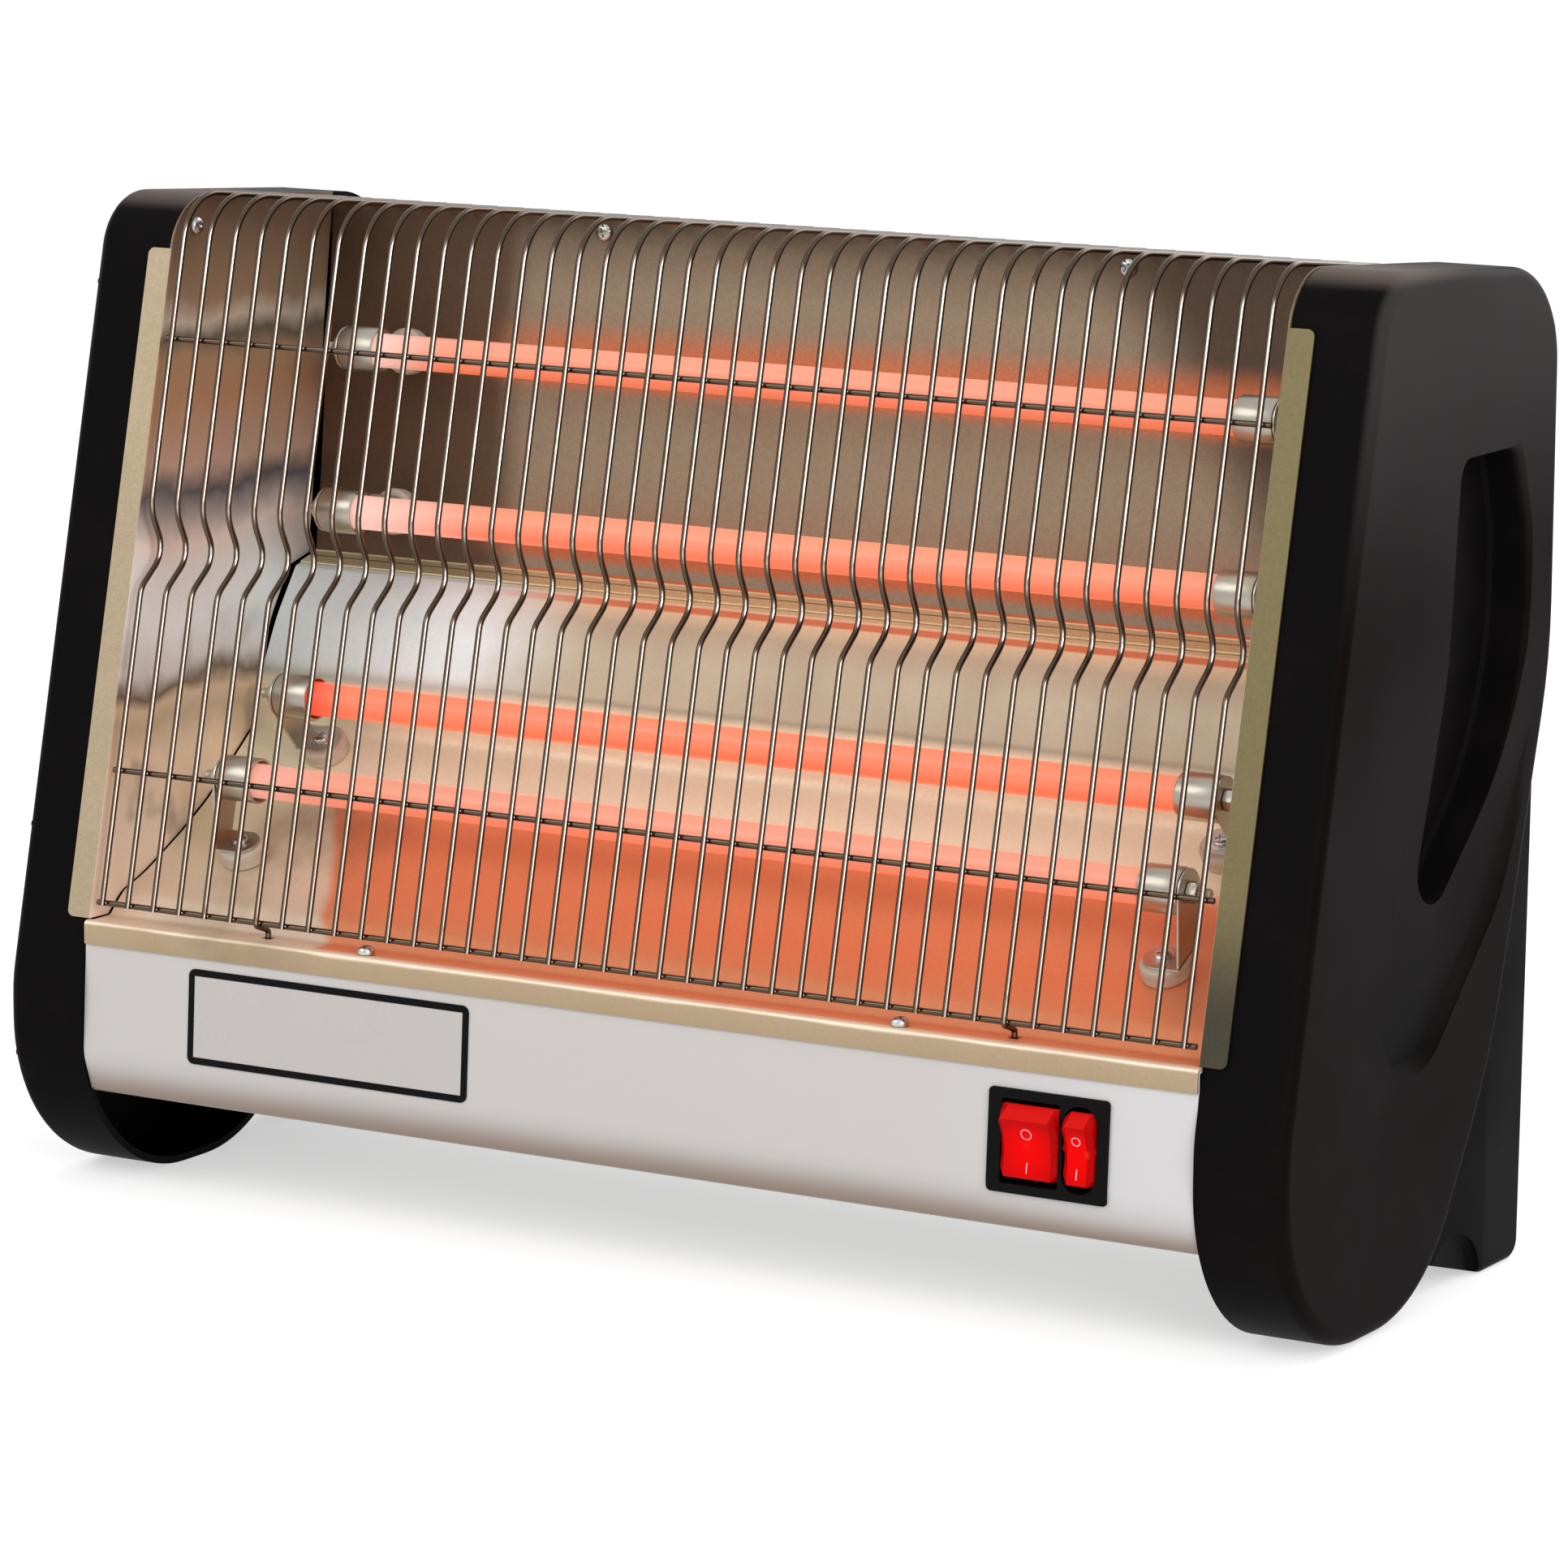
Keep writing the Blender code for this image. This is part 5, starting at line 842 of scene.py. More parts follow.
def ringAcross(outline, level, inset=0.0, stepDeg=4.0):
    return [onPlane("X", level, p) for p in roundCorners(outline, inset, stepDeg=stepDeg)]


def roundedSlab(outline, low, high, edge, steps, stepDeg=4.0):
    # a slab along X whose far rim is rounded
    rings = [ringAcross(outline, low, 0.0, stepDeg)]
    for k in range(steps + 1):
        angle = math.pi / 2 * k / steps
        level = high - edge * (1 - math.sin(angle))
        rings.append(ringAcross(outline, level, edge * (1 - math.cos(angle)), stepDeg))
    return skin(rings)


def recess(outline, depth, draft, fillet, mouth):
    # a cutter sunk into the outer face, with a rounded floor edge and a flared mouth
    rings = []
    floorSteps, mouthSteps, mouthDeg = 3, 4, 80
    for k in range(floorSteps + 1):
        angle = math.pi / 2 * k / floorSteps
        lift = fillet * (1 - math.cos(angle))
        inset = draft + fillet * (1 - math.sin(angle))
        rings.append(ringAcross(outline, outerX - max(depth - lift, mouth), inset))
    for k in range(mouthSteps + 1):
        angle = math.radians(mouthDeg) * k / mouthSteps
        level = outerX - mouth * (1 - math.sin(angle))
        rings.append(ringAcross(outline, level, -mouth * (1 - math.cos(angle))))
    rings.append(ringAcross(outline, outerX + panel["beyond"], -mouth))
    return skin(rings)


def makePanels():
    outline = panel["outline"]
    wall = panel["wall"]
    beyond = panel["beyond"]
    shell = roundedSlab(outline, panelInnerX, outerX, panel["edge"], 7)
    legFace = outerX - panel["legInset"]
    leg = roundedSlab(panel["leg"], panelInnerX, legFace, panel["legEdge"], 4, 8.0)
    legFront = panel["leg"][0][0]
    reach = legFront - panel["legTaperY"]
    taper = [(legFace, legFront), (legFace - reach * panel["legTaper"], legFront - reach),
             (outerX + beyond, legFront - reach), (outerX + beyond, legFront)]
    leg = carve(leg, slab(taper, "Z", *panel["legTaperHeights"]))
    scoopStart = place(legFace - panel["scoopDepth"], panel["scoopY"], 0)
    scoop = rod(panel["scoopRadius"], scoopStart, scoopStart + Vector((panel["scoopLength"], 0, 0)), 48)
    rim = [e for e in scoop.edges if all(abs(v.co.x - scoopStart.x) < 1e-5 for v in e.verts)
           and e.calc_length() < panel["scoopRadius"] / 2]
    soften(scoop, rim, panel["scoopFillet"], 4)
    leg = carve(leg, scoop)
    shell = carve(shell, leg, "UNION")
    hollow = slab(roundCorners(outline, wall, stepDeg=6.0), "X", panelInnerX - beyond, outerX - wall)
    shell = carve(shell, hollow)
    legHollow = slab(roundCorners(panel["leg"], wall), "X", panelInnerX - beyond, legFace - panel["legRoof"])
    shell = carve(shell, legHollow)
    ribs = []
    for height in panel["ribs"]:
        front = [(panel["ribFrontY"], height + up) for up in (0, panel["ribThickness"])]
        back = [(panel["ribBackY"], height + panel["ribRise"] + up) for up in (0, panel["ribThickness"])]
        ribs.append(slab([front[0], back[0], back[1], front[1]], "X", panelInnerX, outerX))
    inner = slab(roundCorners(outline, wall / 2), "X", panelInnerX + panel["ribSetback"], outerX - wall / 2)
    shell = carve(shell, carve(gathered(ribs), inner, "INTERSECT"), "UNION")
    pocketPad = slab(roundCorners(panel["pocket"], -wall), "X", outerX - panel["pocketDepth"] - wall,
                     outerX - wall / 2)
    sweepPad = slab(roundCorners(panel["sweep"], -wall * 0.8), "X", outerX - panel["sweepDepth"] - wall,
                    outerX - wall / 2)
    within = slab(roundCorners(outline, wall / 2), "X", panelInnerX, outerX)
    shell = carve(shell, carve(sweepPad, within, "INTERSECT"), "UNION")
    shell = carve(shell, pocketPad, "UNION")
    pocket = recess(panel["pocket"], panel["pocketDepth"], panel["pocketDraft"], panel["pocketFillet"],
                    panel["mouth"])
    shell = carve(shell, pocket)

    def sweepDepth(point):
        return (panel["sweepTop"] - point.y) * panel["sweepSlope"]

    toFront = Vector(panel["sweepShift"])
    rings = [[onPlane("X", outerX - sweepDepth(p), p + toFront)
              for p in roundCorners(panel["sweep"], panel["sweepWall"], stepDeg=4.0)]]
    for share, lift, inset in panel["sweepRims"]:
        rings.append([onPlane("X", outerX - share * max(sweepDepth(p), 0.0) + lift, p)
                      for p in roundCorners(panel["sweep"], inset, stepDeg=4.0)])
    shell = carve(shell, skin(rings))
    for side, shape in (("left", mirroredX(shell)), ("right", shell)):
        newPiece(side + "_panel_shell", shape, panelPlastic, side + "_side_panel",
                 sharpDeg=28, weighted=True)


makePanels()
print("side panels moulded")


# Sheets of the heating chamber

sheets = {
    "gauge": 0.0008,
    "gap": 0.0003,
    "upperTop": (0.1775, 0.3898),
    "ledgeBack": (0.1589, 0.2441),
    "ledgeFront": (0.1446, 0.2404),
    "lower": [(0.1589, 0.2441, 0), (0.1446, 0.2404, 0.0016), (0.1313, 0.2204, 0.060),
              (0.122, 0.199, 0.030), (0.119, 0.178, 0.010), (0.0839, 0.1507, 0.060),
              (0.0660, 0.1402, 0.080), (0.0404, 0.1274, 0.080), (0.0242, 0.1217, 0.012),
              (0.015, 0.1134, 0.003), (0, 0.1134, 0.0018), (0, 0.1040, 0)],
    "ledgeLap": 0.003,
    "upperClose": (0.27, 0.0040, 0.39, 0.0012),  # low height, gap there, high height, gap there
    "lowerClose": (0.185, 0.0011, 0.236, 0.0034),
    "lipPart": 0.0019,
    "lipStart": 0.0040,
    "slot": (0.0044, 0.0044, 0.010),
    "cheekBackY": 0.015,
    "flangeTop": 0.3798,
    "flangeReach": 0.010,
    "flangeCorner": 0.0028,
    "flangeBend": 0.0007,
}
hook = {"wires": (6, 33), "y": 0.0113, "low": -0.0045, "bend": 0.0032, "radius": 0.0016, "rise": 0.004,
        "tail": 0.002}
trayHeight = 0.1134
cheekOuterX = panelInnerX - sheets["gap"]
cheekInnerX = cheekOuterX - sheets["gauge"]
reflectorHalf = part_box("upper_reflector")[1].x
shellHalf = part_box("rear_cover")[1].x
upperTop, ledgeBack, ledgeFront = (Vector(sheets[key]) for key in ("upperTop", "ledgeBack", "ledgeFront"))
upperRun = (ledgeBack - upperTop).normalized()
panelTop = Vector(panel["outline"][5][:2])
panelTopRun = (Vector(panel["outline"][4][:2]) - panelTop).normalized()

guard = {
    "half": reflectorHalf - 0.002,
    "count": 40,
    "wire": 0.0024,
    "cross": (0.1205, 0.173, 0.3445),
    # height, depth and radius of the kink's three bends
    "kink": ((0.2455, 0.0, 0.0100), (0.261, 0.0130, 0.0105), (0.2765, 0.0, 0.0170)),
    "topRadius": 0.022,
    "topSlopeDeg": 6.0,
    "endGap": 0.0003,
    "endLift": 0.00055,
    "coverDrop": 0.003,
    "overhang": 0.0028,
    "weld": (0.80, 0.42, 0.42),  # half sizes as shares of the wire
}


def wireX(index):
    return -guard["half"] + index * 2 * guard["half"] / (guard["count"] - 1)


def behindUpper(distance, drop=0.0):
    # where a line behind the upper sheet meets the top line of the panels
    behind = shifted([upperTop, ledgeBack], distance)[0]
    return meet(behind, upperRun, panelTop - Vector((0, drop)), panelTopRun)


def upperPath():
    run = (ledgeFront - ledgeBack).normalized()
    lap = Vector((run.y, -run.x)) * (sheets["gauge"] + sheets["gap"])
    start = ledgeBack + lap
    end = ledgeFront + lap - run * sheets["ledgeLap"]
    return roundCorners([(*upperTop, 0), (*start, 0.0014), (*end, 0)], closed=False, stepDeg=12)


def closeIn(sheet, low, gapLow, high, gapHigh):
    # draws the sheet's side edges out to the cheeks, by a gap that changes with height
    for vert in sheet.verts:
        share = min(max((vert.co.z - low) / (high - low), 0.0), 1.0)
        gap = gapLow + (gapHigh - gapLow) * share
        vert.co.x = math.copysign(cheekInnerX - gap, vert.co.x)


def makeReflectors():
    upper = slab(sheetOutline(upperPath(), sheets["gauge"]), "X", -reflectorHalf, reflectorHalf)
    bmesh.ops.bisect_plane(upper, geom=upper.verts[:] + upper.edges[:] + upper.faces[:],
                           plane_co=(0, 0, sheets["upperClose"][0]), plane_no=(0, 0, 1))
    closeIn(upper, *sheets["upperClose"])
    newPiece("upper_sheet", upper, upperSheet, "upper_reflector")
    path = roundCorners(sheets["lower"], closed=False, stepDeg=3)
    lower = slab(sheetOutline(path, sheets["gauge"]), "X", -reflectorHalf, reflectorHalf)
    closeIn(lower, *sheets["lowerClose"])
    front = [Vector((sheets["lipStart"], trayHeight))] + [p for p in path if p.x < sheets["lipPart"]]
    lip = slab(sheetOutline(front, sheets["gauge"]), "X", -shellHalf, shellHalf)
    lower = carve(lower, lip, "UNION")
    slots = []
    for index in hook["wires"]:
        slot = block(sheets["slot"])
        bmesh.ops.translate(slot, vec=place(wireX(index), hook["y"], trayHeight), verts=slot.verts)
        slots.append(slot)
    lower = carve(lower, gathered(slots))
    newPiece("lower_sheet", lower, lowerSheet, "lower_reflector")


def makeCheeks():
    gauge, gap = sheets["gauge"], sheets["gap"]
    face = gap + gauge
    base = trayHeight + gap
    corners = [(*frontPoint(sheets["flangeTop"], face), 0), (*panelTop, panel["outline"][5][2]),
               (*behindUpper(gap), 0)]
    outline = [frontPoint(base, face)] + roundCorners(corners, closed=False, stepDeg=3)
    outline += [p for p in roundCorners(sheets["lower"], closed=False, stepDeg=8) if p.y > trayHeight + 0.001]
    outline.append(Vector((sheets["cheekBackY"], base)))
    cheek = slab(outline, "X", cheekInnerX, cheekOuterX)
    length = (sheets["flangeTop"] - trayHeight - gap) / frontRun.y
    reach, corner = panelInnerX + sheets["flangeReach"], sheets["flangeCorner"]
    corners = [(cheekInnerX, 0, 0), (reach, 0, corner), (reach, length, corner), (cheekInnerX, length, 0)]
    rings = []
    for out in (gap, face):
        ring = []
        for point in roundCorners(corners, stepDeg=12):
            spot = frontPoint(base, out) + frontRun * point.y
            ring.append(place(point.x, spot.x, spot.y))
        rings.append(ring)
    cheek = carve(cheek, skin(rings), "UNION")
    frontSide = Vector((frontRun.y, -frontRun.x))

    def onBend(vert):
        spot = Vector((vert.co.y - lipY, vert.co.z)) - frontPoint(trayHeight, face)
        return abs(vert.co.x - cheekInnerX) < 1e-5 and abs(spot.dot(frontSide)) < 1e-5

    bend = [e for e in cheek.edges if e.calc_length() > 0.1 and all(onBend(v) for v in e.verts)]
    soften(cheek, bend, sheets["flangeBend"], 4)
    for shape, side in ((mirroredX(cheek), "left"), (cheek, "right")):
        for item in shape.faces:
            if abs(item.calc_center_median().x) > cheekOuterX - gap:
                item.material_index = 1
        newPiece(side + "_cheek", shape, [cheekSteel, flangeSteel], side + "_side_reflector",
                 weighted=True)


makeReflectors()
makeCheeks()
print("chamber sheets bent")


# Guard of bent wires

def wirePath():
    wire = guard["wire"]
    slope = math.radians(guard["topSlopeDeg"])
    backRun = Vector((math.cos(slope), -math.sin(slope)))
    coverY = behindUpper(sheets["gauge"] + sheets["gap"], guard["coverDrop"]).x
    end = Vector((coverY - guard["endGap"], upperTop.y + guard["endLift"] + wire / 2 / math.cos(slope)))
    corner = meet(frontPoint(guard["cross"][2], wire), frontRun, end, backRun)
    start = frontPoint(guard["cross"][0], wire) - frontRun * wire / 2
    kink = [(*frontPoint(height, wire - depth), radius) for height, depth, radius in guard["kink"]]
    corners = [(*start, 0)] + kink + [(*corner, guard["topRadius"]), (*end, 0)]
    return roundCorners(corners, closed=False, stepDeg=7)


def drawWire(name, runs, radius, replaces=()):
    curve = bpy.data.curves.new(name, "CURVE")
    curve.dimensions = "3D"
    curve.bevel_depth = radius
    curve.bevel_resolution = 3
    curve.use_fill_caps = True
    for points in runs:
        spline = curve.splines.new("POLY")
        spline.points.add(len(points) - 1)
        for spot, point in zip(spline.points, points):
            spot.co = (*point, 1)
        spline.use_smooth = True
    curve.materials.append(chromedWire)
    piece = linked(name, curve)
    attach(piece, "casing")
    if replaces:
        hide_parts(replaces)


def makeGuard():
    wire = guard["wire"]
    path = wirePath()
    uprights = []
    for index in range(guard["count"]):
        line = list(path)
        if index in hook["wires"]:
            bend = path[0] + frontRun * hook["rise"]
            corners = [(hook["y"], trayHeight + hook["low"], 0),
                       (hook["y"], trayHeight + hook["bend"], hook["radius"]),
                       (*path[0], hook["radius"]), (*bend, 0)]
            hooked = roundCorners(corners, closed=False, stepDeg=15)
            line = hooked + [bend + frontRun * hook["tail"]] + line[1:]
        uprights.append([place(wireX(index), p.x, p.y) for p in line])
    drawWire("guard_uprights", uprights, wire / 2, "guard_grille")
    crossings = []
    ends = wireX(guard["count"] - 1) + wire / 2 + guard["overhang"]
    for height in guard["cross"]:
        spot = frontPoint(height, 0)
        crossings.append([place(x, spot.x, spot.y) for x in (-ends, 0, ends)])
    drawWire("guard_cross_wires", crossings, wire / 2)
    welds = []
    for height in guard["cross"]:
        spot = frontPoint(height, wire * 0.5)
        for index in range(guard["count"]):
            weld = bmesh.new()
            bmesh.ops.create_icosphere(weld, subdivisions=1, radius=1.0)
            bmesh.ops.scale(weld, vec=[wire * share for share in guard["weld"]], verts=weld.verts)
            bmesh.ops.translate(weld, vec=place(wireX(index), spot.x, spot.y), verts=weld.verts)
            welds.append(weld)
    newPiece("guard_welds", gathered(welds), chromedWire, sharpDeg=80)


makeGuard()
print("guard bent and welded")


# Tubes with their caps, clips and insulators

tubeKit = {
    "radius": 0.0070,
    "wall": 0.0014,
    "seat": 0.0055,
    "ringLength": 0.017,
    "ringRadius": 0.0093,
    "ringWall": 0.0010,
    "strap": 0.0010,
    "footWidth": 0.0130,
    "footRadius": 0.0075,
    "stud": 0.0021,
    "nut": 0.0046,
    "nutLength": 0.0040,
    "studLength": 0.0045,
    "studPlay": 0.0004,
    "pitch": 0.0007,
    "play": 0.0003,
    "cupEdge": 0.0006,
    "cupCrown": 0.0016,
    "strapEdge": 0.0002,
    "strapShare": 0.97,
    "button": 0.0097,
    "buttonHeight": 0.0068,
    "washer": [(0.0018, 0), (0.0046, 0), (0.0046, 0.0005), (0.0018, 0.0007)],
    "washerDrop": 0.0004,
    "screw": (0.0034, 0.0019),
    "screwLift": 0.0001,
    "rows": (
        {"sheet": "upper", "seatHeight": 0.3306, "standoff": 0.0352, "leanDeg": 0.0, "ringX": 0.2063,
         "left": (0.52, 0.36, 0.31), "leftBody": (0.75, 0.50, 0.44), "leftReach": 0.045,
         "body": (0.42, 0.16, 0.11), "low": (0.66, 0.120, 0.048), "high": (0.66, 0.260, 0.165)},
        {"sheet": "upper", "seatHeight": 0.2644, "standoff": 0.0417, "leanDeg": 0.0, "ringX": 0.2069,
         "left": (0.58, 0.36, 0.31), "leftBody": (0.72, 0.46, 0.40), "leftReach": 0.080,
         "body": (0.42, 0.16, 0.11), "low": (0.70, 0.115, 0.045), "high": (0.70, 0.245, 0.140)},
        {"sheet": "lower", "seatHeight": 0.1703, "standoff": 0.0331, "leanDeg": 0.0, "ringX": 0.2079,
         "left": (0.92, 0.050, 0.018), "leftBody": (0.50, 0.06, 0.03), "leftReach": 0.030,
         "body": (0.40, 0.13, 0.08), "low": (0.72, 0.130, 0.055), "high": (0.72, 0.190, 0.100)},
        {"sheet": "lower", "seatHeight": 0.1345, "standoff": 0.0328, "leanDeg": -24.6, "ringX": 0.2112,
         "left": (0.60, 0.26, 0.20), "leftBody": (0.50, 0.24, 0.19), "leftReach": 0.050,
         "body": (0.42, 0.17, 0.12), "low": (0.64, 0.150, 0.078), "high": (0.64, 0.250, 0.165)},
    ),
}


def seatOn(path, height):
    for start, end in zip(path, path[1:]):
        if min(start.y, end.y) <= height <= max(start.y, end.y) and start.y != end.y:
            run = (end - start).normalized()
            spot = start + (end - start) * ((height - start.y) / (end.y - start.y))
            return spot, run, Vector((run.y, -run.x))
    return path[0], Vector((0, -1)), Vector((-1, 0))


seatPaths = {
    "upper": [upperTop, ledgeBack],
    "lower": [Vector(corner[:2]) for corner in sheets["lower"]],
}


def phillips(spot, axis, radius=0.0036, height=0.0022, turnDeg=20.0):
    # a pan head with its cross recess
    shares = ((0, 0), (0.97, 0), (1, 0.12), (1, 0.38), (0.94, 0.62), (0.78, 0.84), (0.5, 0.97), (0, 1))
    head = turned([(radius * across, height * up) for across, up in shares], 28)
    cross = []
    for angle in (0, 90):
        blade = block((radius * 1.15, radius * 0.26, height * 1.1), radius * 0.05, 1)
        bmesh.ops.translate(blade, vec=(0, 0, height * 1.05), verts=blade.verts)
        bmesh.ops.rotate(blade, cent=(0, 0, 0), verts=blade.verts,
                         matrix=Matrix.Rotation(math.radians(angle + turnDeg), 3, "Z"))
        cross.append(blade)
    head = carve(head, carve(cross[0], cross[1], "UNION"))
    return aimed(head, spot, axis)


def makeClip(seat):
    # a cup over the tube's end, a strap down its outer side and a round-ended foot on the button
    kit = tubeKit
    ring, x = seat["ring"], seat["ringX"]
    half = kit["ringLength"] / 2
    outerEnd = x + half
    outside = kit["ringRadius"]
    inside = outside - kit["ringWall"]
    hole = kit["stud"] + kit["studPlay"]
    edge, crown, strap = kit["cupEdge"], kit["cupCrown"], kit["strap"]
    cup = [(inside, -half), (outside - edge * 0.4, -half), (outside, -half + edge), (outside, half - crown),
           (outside - 0.0005, half - 0.0005), (outside - crown, half), (hole, half), (hole, half - strap),
           (inside - 0.0010, half - strap), (inside, half - strap - 0.0010)]
    shapes = [aimed(turned(cup, 40, closed=True), place(x, ring.x, ring.y), (1, 0, 0))]
    foot = seat["spot"] + seat["normal"] * (2 * sheets["gap"] + kit["buttonHeight"])
    spread = seat["run"] * kit["footWidth"] / 2
    radius = Vector((outside * kit["strapShare"], 0))
    cloud = [ring + Matrix.Rotation(math.tau * k / 40, 2) @ radius for k in range(40)]
    cloud += [foot + spread, foot - spread]
    arm = slab([cloud[index] for index in convex_hull_2d(cloud)], "X", outerEnd, outerEnd + strap)
    drill = [place(outerEnd + along, ring.x, ring.y) for along in (-0.002, 0.004)]
    arm = carve(arm, rod(hole, *drill, 20))
    rim = [e for e in arm.edges if abs(e.verts[0].co.x - e.verts[1].co.x) < 1e-6]
    soften(arm, rim, 0.00022, 1)
    shapes.append(arm)
    width = kit["footWidth"] / 2
    tip, tipRadius = x - kit["footRadius"], width - kit["play"]
    corners = [(outerEnd + strap, -width, 0), (outerEnd + strap, width, 0),
               (tip, width, tipRadius), (tip, -width, tipRadius)]
    rings = []
    edge = kit["strapEdge"]
    for level, inset in ((0, edge), (edge, 0), (strap - edge, 0), (strap, edge)):
        spots = []
        for p in roundCorners(corners, -inset, stepDeg=9):
            spot = foot + seat["normal"] * level + seat["run"] * p.y
            spots.append(place(p.x, spot.x, spot.y))
        rings.append(spots)
    shapes.append(skin(rings))
    headSpot = foot + seat["normal"] * (strap + kit["screwLift"])
    headSpot = place(x, headSpot.x, headSpot.y)
    head = phillips(headSpot, seat["up"], *kit["screw"])
    washer = turned(kit["washer"], 24, closed=True)
    washer = aimed(washer, headSpot - seat["up"] * kit["washerDrop"], seat["up"])
    return gathered(shapes), gathered([head, washer])


def makeCap(seat):
    # the tube's metal end with a threaded stud and its hexagon nut
    kit = tubeKit
    radius, studRadius, play = kit["radius"], kit["stud"], kit["play"]
    plate = kit["ringLength"] / 2
    start = kit["seat"] + play - plate
    profile = [(0, start), (radius - 0.0004, start), (radius, start + 0.0004), (radius, plate - 0.0012),
               (studRadius, plate - 0.0009)]
    thread = plate + play
    threadEnd = plate + kit["strap"] + 2 * play + kit["nutLength"] + kit["studLength"]
    for k in range(int((threadEnd - thread) / kit["pitch"])):
        level = thread + k * kit["pitch"]
        profile += [(studRadius, level), (studRadius - 0.0003, level + kit["pitch"] / 2)]
    profile += [(studRadius - 0.0004, threadEnd), (0, threadEnd)]
    stud = turned(profile, 24)
    nut = bmesh.new()
    bmesh.ops.create_cone(nut, cap_ends=True, segments=6, radius1=kit["nut"], radius2=kit["nut"],
                          depth=kit["nutLength"])
    bmesh.ops.translate(nut, vec=(0, 0, plate + kit["strap"] + play + kit["nutLength"] / 2), verts=nut.verts)
    chamfer = ((0, 0), (0.94, 0.0010), (1.02, 0.0018), (1.02, 0.0040), (0.90, 0.0050), (0, 0.0050))
    nut = carve(nut, turned([(kit["nut"] * share, thread + up) for share, up in chamfer], 36), "INTERSECT")
    return aimed(gathered([stud, nut]), place(seat["ringX"], seat["ring"].x, seat["ring"].y), (1, 0, 0))


def makeButton(seat):
    # two-part ceramic button: a base, a fine joint and a domed top
    r, h = tubeKit["button"], tubeKit["buttonHeight"]
    corners = [(0, 0, 0), (r - 0.0002, 0, 0.0003), (r - 0.0001, h * 0.46, 0.0002),
               (r - 0.0006, h * 0.485, 0.0001), (r, h * 0.51, 0.0002), (r, h * 0.98, 0.0016),
               (r * 0.62, h, 0.0006), (r * 0.5, h, 0), (0, h, 0)]
    profile = [tuple(p) for p in roundCorners(corners, closed=False, stepDeg=15)]
    spot = seat["spot"] + seat["normal"] * sheets["gap"]
    return aimed(turned(profile, 40), place(seat["ringX"], spot.x, spot.y), seat["up"])


def makeTubes():
    kit = tubeKit
    for number, row in enumerate(kit["rows"], start=1):
        spot, run, normal = seatOn(seatPaths[row["sheet"]], row["seatHeight"])
        arm = Matrix.Rotation(math.radians(row["leanDeg"]), 2) @ normal
        seat = {"spot": spot, "run": run, "normal": normal, "up": Vector((0, normal.x, normal.y)),
                "ring": spot + arm * row["standoff"], "ringX": row["ringX"]}
        half = row["ringX"] - kit["ringLength"] / 2 + kit["seat"]
        corners = [(kit["radius"], -half, 0.0005), (kit["radius"], half, 0.0005),
                   (kit["radius"] - kit["wall"], half, 0.0004), (kit["radius"] - kit["wall"], -half, 0.0004)]
        glass = turned([tuple(p) for p in roundCorners(corners, stepDeg=30)], 48, closed=True)
        glass = aimed(glass, place(0, seat["ring"].x, seat["ring"].y), (1, 0, 0))
        finish = tubeFinish(f"milkyQuartz{number}", seat["ring"].y, row)
        newPiece(f"tube_{number}", glass, finish, f"quartz_tube_{number}")
        clip, clipScrew = makeClip(seat)
        cap = makeCap(seat)
        button = makeButton(seat)
        for side, turnTo in (("left", mirroredX), ("right", bmesh.types.BMesh.copy)):
            tag = f"{number}_{side}"
            newPiece("clip_" + tag, turnTo(clip), clipZinc, "tube_clip_" + tag)
            newPiece("clip_screw_" + tag, turnTo(clipScrew), screwZinc)
            newPiece("cap_" + tag, turnTo(cap), clipZinc, "tube_cap_" + tag)
            newPiece("button_" + tag, turnTo(button), steatite, "insulator_" + tag)


makeTubes()
print("four tubes seated")


# Screws on the sheets

screws = {
    "reflectorX": {"left": -0.116, "right": 0.126},
    "reflectorDrop": 0.0052,
    "trayX": {"left": -0.119, "right": 0.1237},
    "trayY": 0.0058,
    "sideSpot": (0.080, 0.388),
    "height": {"reflector": 0.0022, "tray": 0.0032, "side": 0.0022},
    "firstTurnDeg": 20,
    "nextTurnDeg": 37,
}


def makeScrews():
    normal = Vector((0, upperRun.y, -upperRun.x))
    seat = upperTop + upperRun * screws["reflectorDrop"]
    lift = sheets["gap"]
    spots = []
    for side, x in screws["reflectorX"].items():
        spots.append((side, "reflector", place(x, seat.x, seat.y) + normal * lift, normal))
    for side, x in screws["trayX"].items():
        spots.append((side, "tray", place(x, screws["trayY"], trayHeight + lift), (0, 0, 1)))
    for side, sign in (("left", -1), ("right", 1)):
        spots.append((side, "side", place(sign * (cheekInnerX - lift), *screws["sideSpot"]), (-sign, 0, 0)))
    for number, (side, kind, spot, axis) in enumerate(spots):
        head = phillips(spot, axis, height=screws["height"][kind],
                        turnDeg=screws["firstTurnDeg"] + screws["nextTurnDeg"] * number)
        newPiece(f"{side}_{kind}_phillips", head, screwZinc, f"{side}_{kind}_screw")


makeScrews()


# Lower front: fascia, bare label plate, switch plate and rockers

